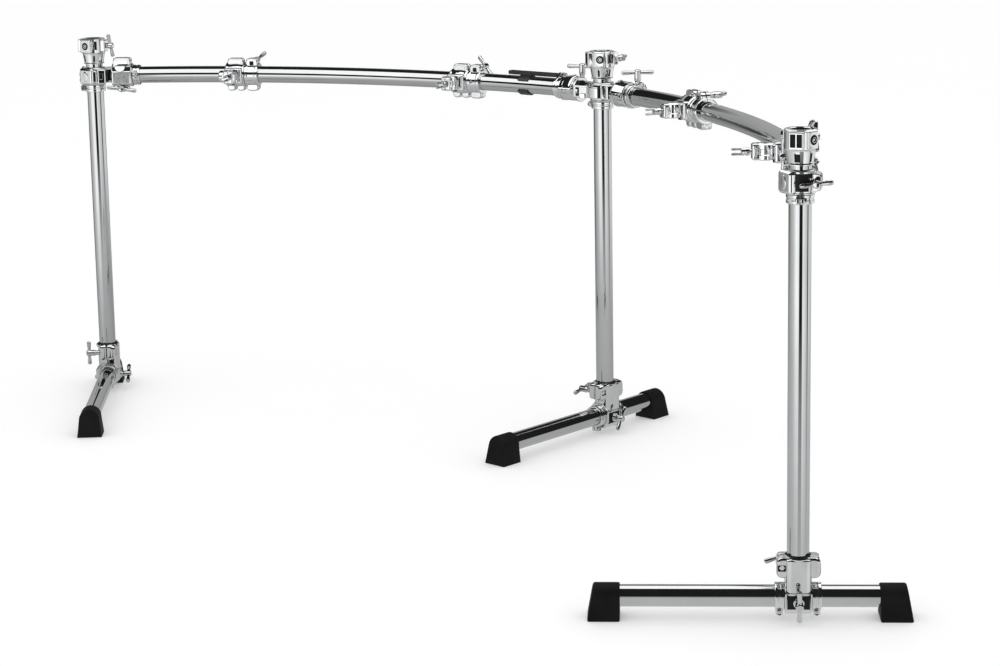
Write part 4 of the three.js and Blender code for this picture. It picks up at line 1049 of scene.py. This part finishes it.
# Legs: turn, bare tube between the rear lock and foot, and spins of the two screws
SOCKET = leg_socket_casting()
# Black pads that paint the shade in each leg socket's hollow, rim and pocket
SOCKET_SHADE_PAD = leg_socket_shade_pad()
FOOT = rubber_foot()
LOCK_PLACE = LEG_SLEEVE_LENGTH / 2 + FIT_GAP + LOCK_LENGTH / 2
TUBE_INSET = FOOT_SLOPE + FOOT_END_WALL + FIT_GAP
LEGS = (("left", -37.1, 3, 88, 35), ("centre", -83.4, 95, -12, 60), ("right", -133.8, 98, -18, 90))
for side, heading, bare_tube, socket_spin, sleeve_spin in LEGS:
    ground = POST_PLACES[side] @ turn("Z", heading)
    axis = ground @ shift(0, 0, LEG_HEIGHT)
    rear = LOCK_PLACE + LOCK_LENGTH / 2 + bare_tube + FOOT_LENGTH
    reach = LEG_LENGTH - rear
    leg = f"{side}_leg"
    tube = straight_tube(ALONG_X, TUBE_INSET - rear, reach - TUBE_INSET)
    make(f"{leg}_bare_tube", tube, axis, TUBE_CHROME, leg, f"{leg}_tube")
    for number, along in enumerate((LOCK_PLACE, -LOCK_PLACE), 1):
        place = axis @ shift(along) @ turn("Y", 180)
        make(f"{leg}_lock_{number}", LOCK, place, CAST_CHROME, leg)
    make_pair(f"{leg}_socket", SOCKET, SOCKET_SHADE_PAD, axis, leg)
    for end, out, about in (("front", reach, 0), ("rear", -rear, 180)):
        place = ground @ shift(out) @ turn("Z", about)
        make(f"{side}_{end}_rubber_foot", FOOT, place, FOOT_RUBBER, leg, f"{side}_{end}_foot")
    put_screw(f"{leg}_post_screw", "middle", axis @ socket_ear(-1), (0, -1, 0), socket_spin)
    flat = axis @ shift(0, LEG_SLEEVE_FLAT, -TUBE_SCREW_DROP)
    put_screw(f"{leg}_tube_screw", "leg", flat, (0, 1, 0), sleeve_spin)

# Clamps, each with its share of the bar's free run and its screw's spin, and the key clip
JAW = clamp_jaw()
# Black pads and blocks that paint the shade in the jaws' wells and gaps and the bands' notches
JAW_SHADE_PAD = clamp_jaw_shade_pad()
BAND = clamp_band()
BAND_SHADE_PAD = clamp_band_shade_pad()
NUT = pronged_nut()
CLAMPS = (("left", 0.275, -38), ("left", 0.894, 52), ("right", 0.235, -12), ("right", 0.807, 70))
for number, (bar, share, spin) in enumerate(CLAMPS, 1):
    first, last = FREE_RUNS[bar]
    place = on_bar(bar, first + share * (last - first) - JAW_LENGTH / 2)
    jaw, band = f"clamp_{number}_jaw", f"clamp_{number}_band"
    make_pair(jaw, JAW, JAW_SHADE_PAD, place, jaw)
    make_pair(band, BAND, BAND_SHADE_PAD, place, band)
    ear = place @ shift(BAND_MIDDLE, BAND_EAR_THICK, BAND_SCREW_HEIGHT)
    put_screw(f"{band}_screw", "middle", ear, (0, 1, 0), spin)
    nut = f"{jaw}_nut"
    block_end = place @ shift(0, -JAW_BLOCK_REACH, 0) @ facing((0, -1, 0))
    make(nut, NUT, block_end, SCREW_CHROME, nut, nut)
make("key_clip", key_clip(), on_bar("left", CLIP_ALONG), CLIP_PLASTIC, "rack_top", "key_clip")


# Floor, backdrop and light, all set out along two level directions of the room, in metres
ROOM_BACK = Vector((-0.7615, 0.6481, 0))
ROOM_RIGHT = Vector((0.6481, 0.7615, 0))
FLOOR_REACH = 40
PAPER_GLOW = 0.16
FLOOR_FADE = (1.1, 3.3)
FLOOR_SHADE = (-1.2, 2.2)
ROOM_GLOW = 1.75
SOFT_BOX_GLOW = 1.7
SOFT_BOX_HEIGHT = 1.65
SOFT_BOX_DEPTH = (0.6, -0.97)
SOFT_BOX_WIDTH = (-2.3, 1.9)


def maths(tree, kind, *values):
    return added(tree, "Math", dict(enumerate(values)), operation=kind).outputs["Value"]


def along_way(tree, vector, way):
    feeds = {0: vector, 1: way}
    return added(tree, "VectorMath", feeds, operation="DOT_PRODUCT").outputs["Value"]


def greys(*stops):
    return [(place, (level,) * 3) for place, level in stops]


def mirror_rays(tree):
    return added(tree, "LightPath").outputs["Is Glossy Ray"]


def set_surface(tree, shade):
    tree.links.new(shade, tree.nodes["Material Output"].inputs["Surface"])


def studio_floor():
    """White paper that lies flat round the rack. Plated metal shows it as a painted grey glow,
    lighter towards the front, and not far off.
    """
    work = bmesh.new()
    bmesh.ops.create_grid(work, x_segments=2, y_segments=2, size=FLOOR_REACH)
    floor = set_down("studio_floor", mesh_of([work]))
    material, tree, shader = finish_tree("studio_paper_and_painted_shade")
    place = added(tree, "TexCoord").outputs["Object"]
    tone = tones(tree, noise(tree, place, 3.0), greys((0.0, 0.88), (1.0, 0.9)))
    tree.links.new(tone, shader.inputs["Base Color"])
    shader.inputs["Roughness"].default_value = 0.6
    shader.inputs["Specular IOR Level"].default_value = 0.1
    shader.inputs["Emission Color"].default_value = (1, 1, 1, 1)
    shader.inputs["Emission Strength"].default_value = PAPER_GLOW
    mirrored = mirror_rays(tree)
    far = added(tree, "VectorMath", {0: place}, operation="LENGTH").outputs["Value"]
    beyond = maths(tree, "MULTIPLY", mirrored, spread(tree, far, *FLOOR_FADE))
    # For mirrored rays the paper is swapped for a painted grey glow, darker at the back and lighter
    # towards the front: painted shade in its reflection
    front = along_way(tree, place, -ROOM_BACK)
    steps = greys((0.0, 0.46), (0.5, 0.66), (1.0, 0.86))
    shade = tones(tree, spread(tree, front, *FLOOR_SHADE), steps)
    shade = added(tree, "Emission", {"Color": shade})
    feeds = {"Fac": mirrored, 1: shader.outputs["BSDF"], 2: shade.outputs["Emission"]}
    paper = added(tree, "MixShader", feeds).outputs["Shader"]
    clear = added(tree, "BsdfTransparent").outputs["BSDF"]
    fade = added(tree, "MixShader", {"Fac": beyond, 1: paper, 2: clear})
    set_surface(tree, fade.outputs["Shader"])
    floor.data.materials.append(material)


def studio_room():
    """White all round, with dark openings between the bright panels that plated metal mirrors."""
    world = bpy.data.worlds.new("studio_room")
    bpy.context.scene.world = world
    world.use_nodes = True
    tree = world.node_tree
    way = added(tree, "TexCoord").outputs["Generated"]
    back = along_way(tree, way, ROOM_BACK)
    side = along_way(tree, way, ROOM_RIGHT)
    rise = along_way(tree, way, (0, 0, 1))
    over = maths(tree, "ARCTAN2", rise, back)
    ceiling = tones(tree, spread(tree, over, 0, pi), greys(
        (0, 0.24), (0.12, 0.3), (0.16, 0.012), (0.97, 0.01), (0.985, 0.38), (1, 0.34),
    ))
    round_about = maths(tree, "ARCTAN2", side, along_way(tree, way, -ROOM_BACK))
    walls = tones(tree, spread(tree, round_about, -pi, pi), greys(
        (0, 0.1), (0.07, 0.04), (0.12, 0.1), (0.2, 0.36), (0.3, 0.52), (0.38, 0.95),
        (0.455, 0.85), (0.472, 0.01), (0.548, 0.01), (0.56, 0.8), (0.64, 0.62), (0.7, 0.42),
        (0.708, 0.02), (0.732, 0.02), (0.742, 0.6), (0.9, 0.55), (0.95, 0.04), (1, 0.1),
    ))
    below = spread(tree, rise, -0.03, 0.0, 1.0, 0.0)
    shell = added(tree, "Mix", {"Factor": below, 6: ceiling, 7: walls}, data_type="RGBA")
    bright = added(tree, "VectorMath", {0: shell.outputs[2], "Scale": ROOM_GLOW}, operation="SCALE")
    feeds = {"Factor": mirror_rays(tree), 6: (1, 1, 1, 1), 7: bright.outputs["Vector"]}
    seen = added(tree, "Mix", feeds, data_type="RGBA")
    light = tree.nodes["Background"]
    tree.links.new(seen.outputs[2], light.inputs["Color"])
    light.inputs["Strength"].default_value = 1.0


def soft_box():
    """A wide soft box hung over the rack, which only the plated metal shows."""
    mesh = bpy.data.meshes.new("soft_box")
    back, front = SOFT_BOX_DEPTH
    left, right = SOFT_BOX_WIDTH
    corners = [
        ROOM_BACK * depth + ROOM_RIGHT * width + Vector((0, 0, SOFT_BOX_HEIGHT))
        for depth, width in ((back, left), (front, left), (front, right), (back, right))
    ]
    mesh.from_pydata(corners, [], [(0, 1, 2, 3)])
    box = set_down("soft_box", mesh)
    for way in ("camera", "diffuse", "transmission", "volume_scatter", "shadow"):
        setattr(box, f"visible_{way}", False)
    material, tree, _ = finish_tree("soft_box")
    set_surface(tree, added(tree, "Emission", {"Strength": SOFT_BOX_GLOW}).outputs["Emission"])
    material.cycles.emission_sampling = "NONE"
    mesh.materials.append(material)


studio_floor()
studio_room()
soft_box()

# The photograph's own camera: its spot from the middle of the bars' ends, and its angles
CAMERA_SPOT = Vector((3725.42, -2878.57, 1387.6))
CAMERA_HEADING = 49.6026
CAMERA_PITCH = 0.18331
CAMERA_ROLL = -0.01738
camera_data = bpy.data.cameras.new("camera")
camera_data.lens = 86.031
camera_data.sensor_width = 36
camera_data.sensor_fit = "HORIZONTAL"
camera_data.shift_y = -0.1004
camera_data.clip_start = 0.05
camera_data.clip_end = 200
camera = set_down("camera", camera_data)
level_right = Vector((1, 0, 0))
level_up = Vector((0, sin(CAMERA_PITCH), cos(CAMERA_PITCH)))
level_ahead = Vector((0, cos(CAMERA_PITCH), -sin(CAMERA_PITCH)))
right = level_right * cos(CAMERA_ROLL) + level_up * sin(CAMERA_ROLL)
up = level_up * cos(CAMERA_ROLL) - level_right * sin(CAMERA_ROLL)
heading = Matrix.Rotation(radians(CAMERA_HEADING), 3, "Z")
axes = Matrix((heading @ right, heading @ up, heading @ -level_ahead)).transposed().to_4x4()
camera.matrix_world = Matrix.Translation((RACK_PLACE @ CAMERA_SPOT) * MM) @ axes
bpy.context.scene.camera = camera
bpy.context.scene.view_settings.view_transform = "Standard"
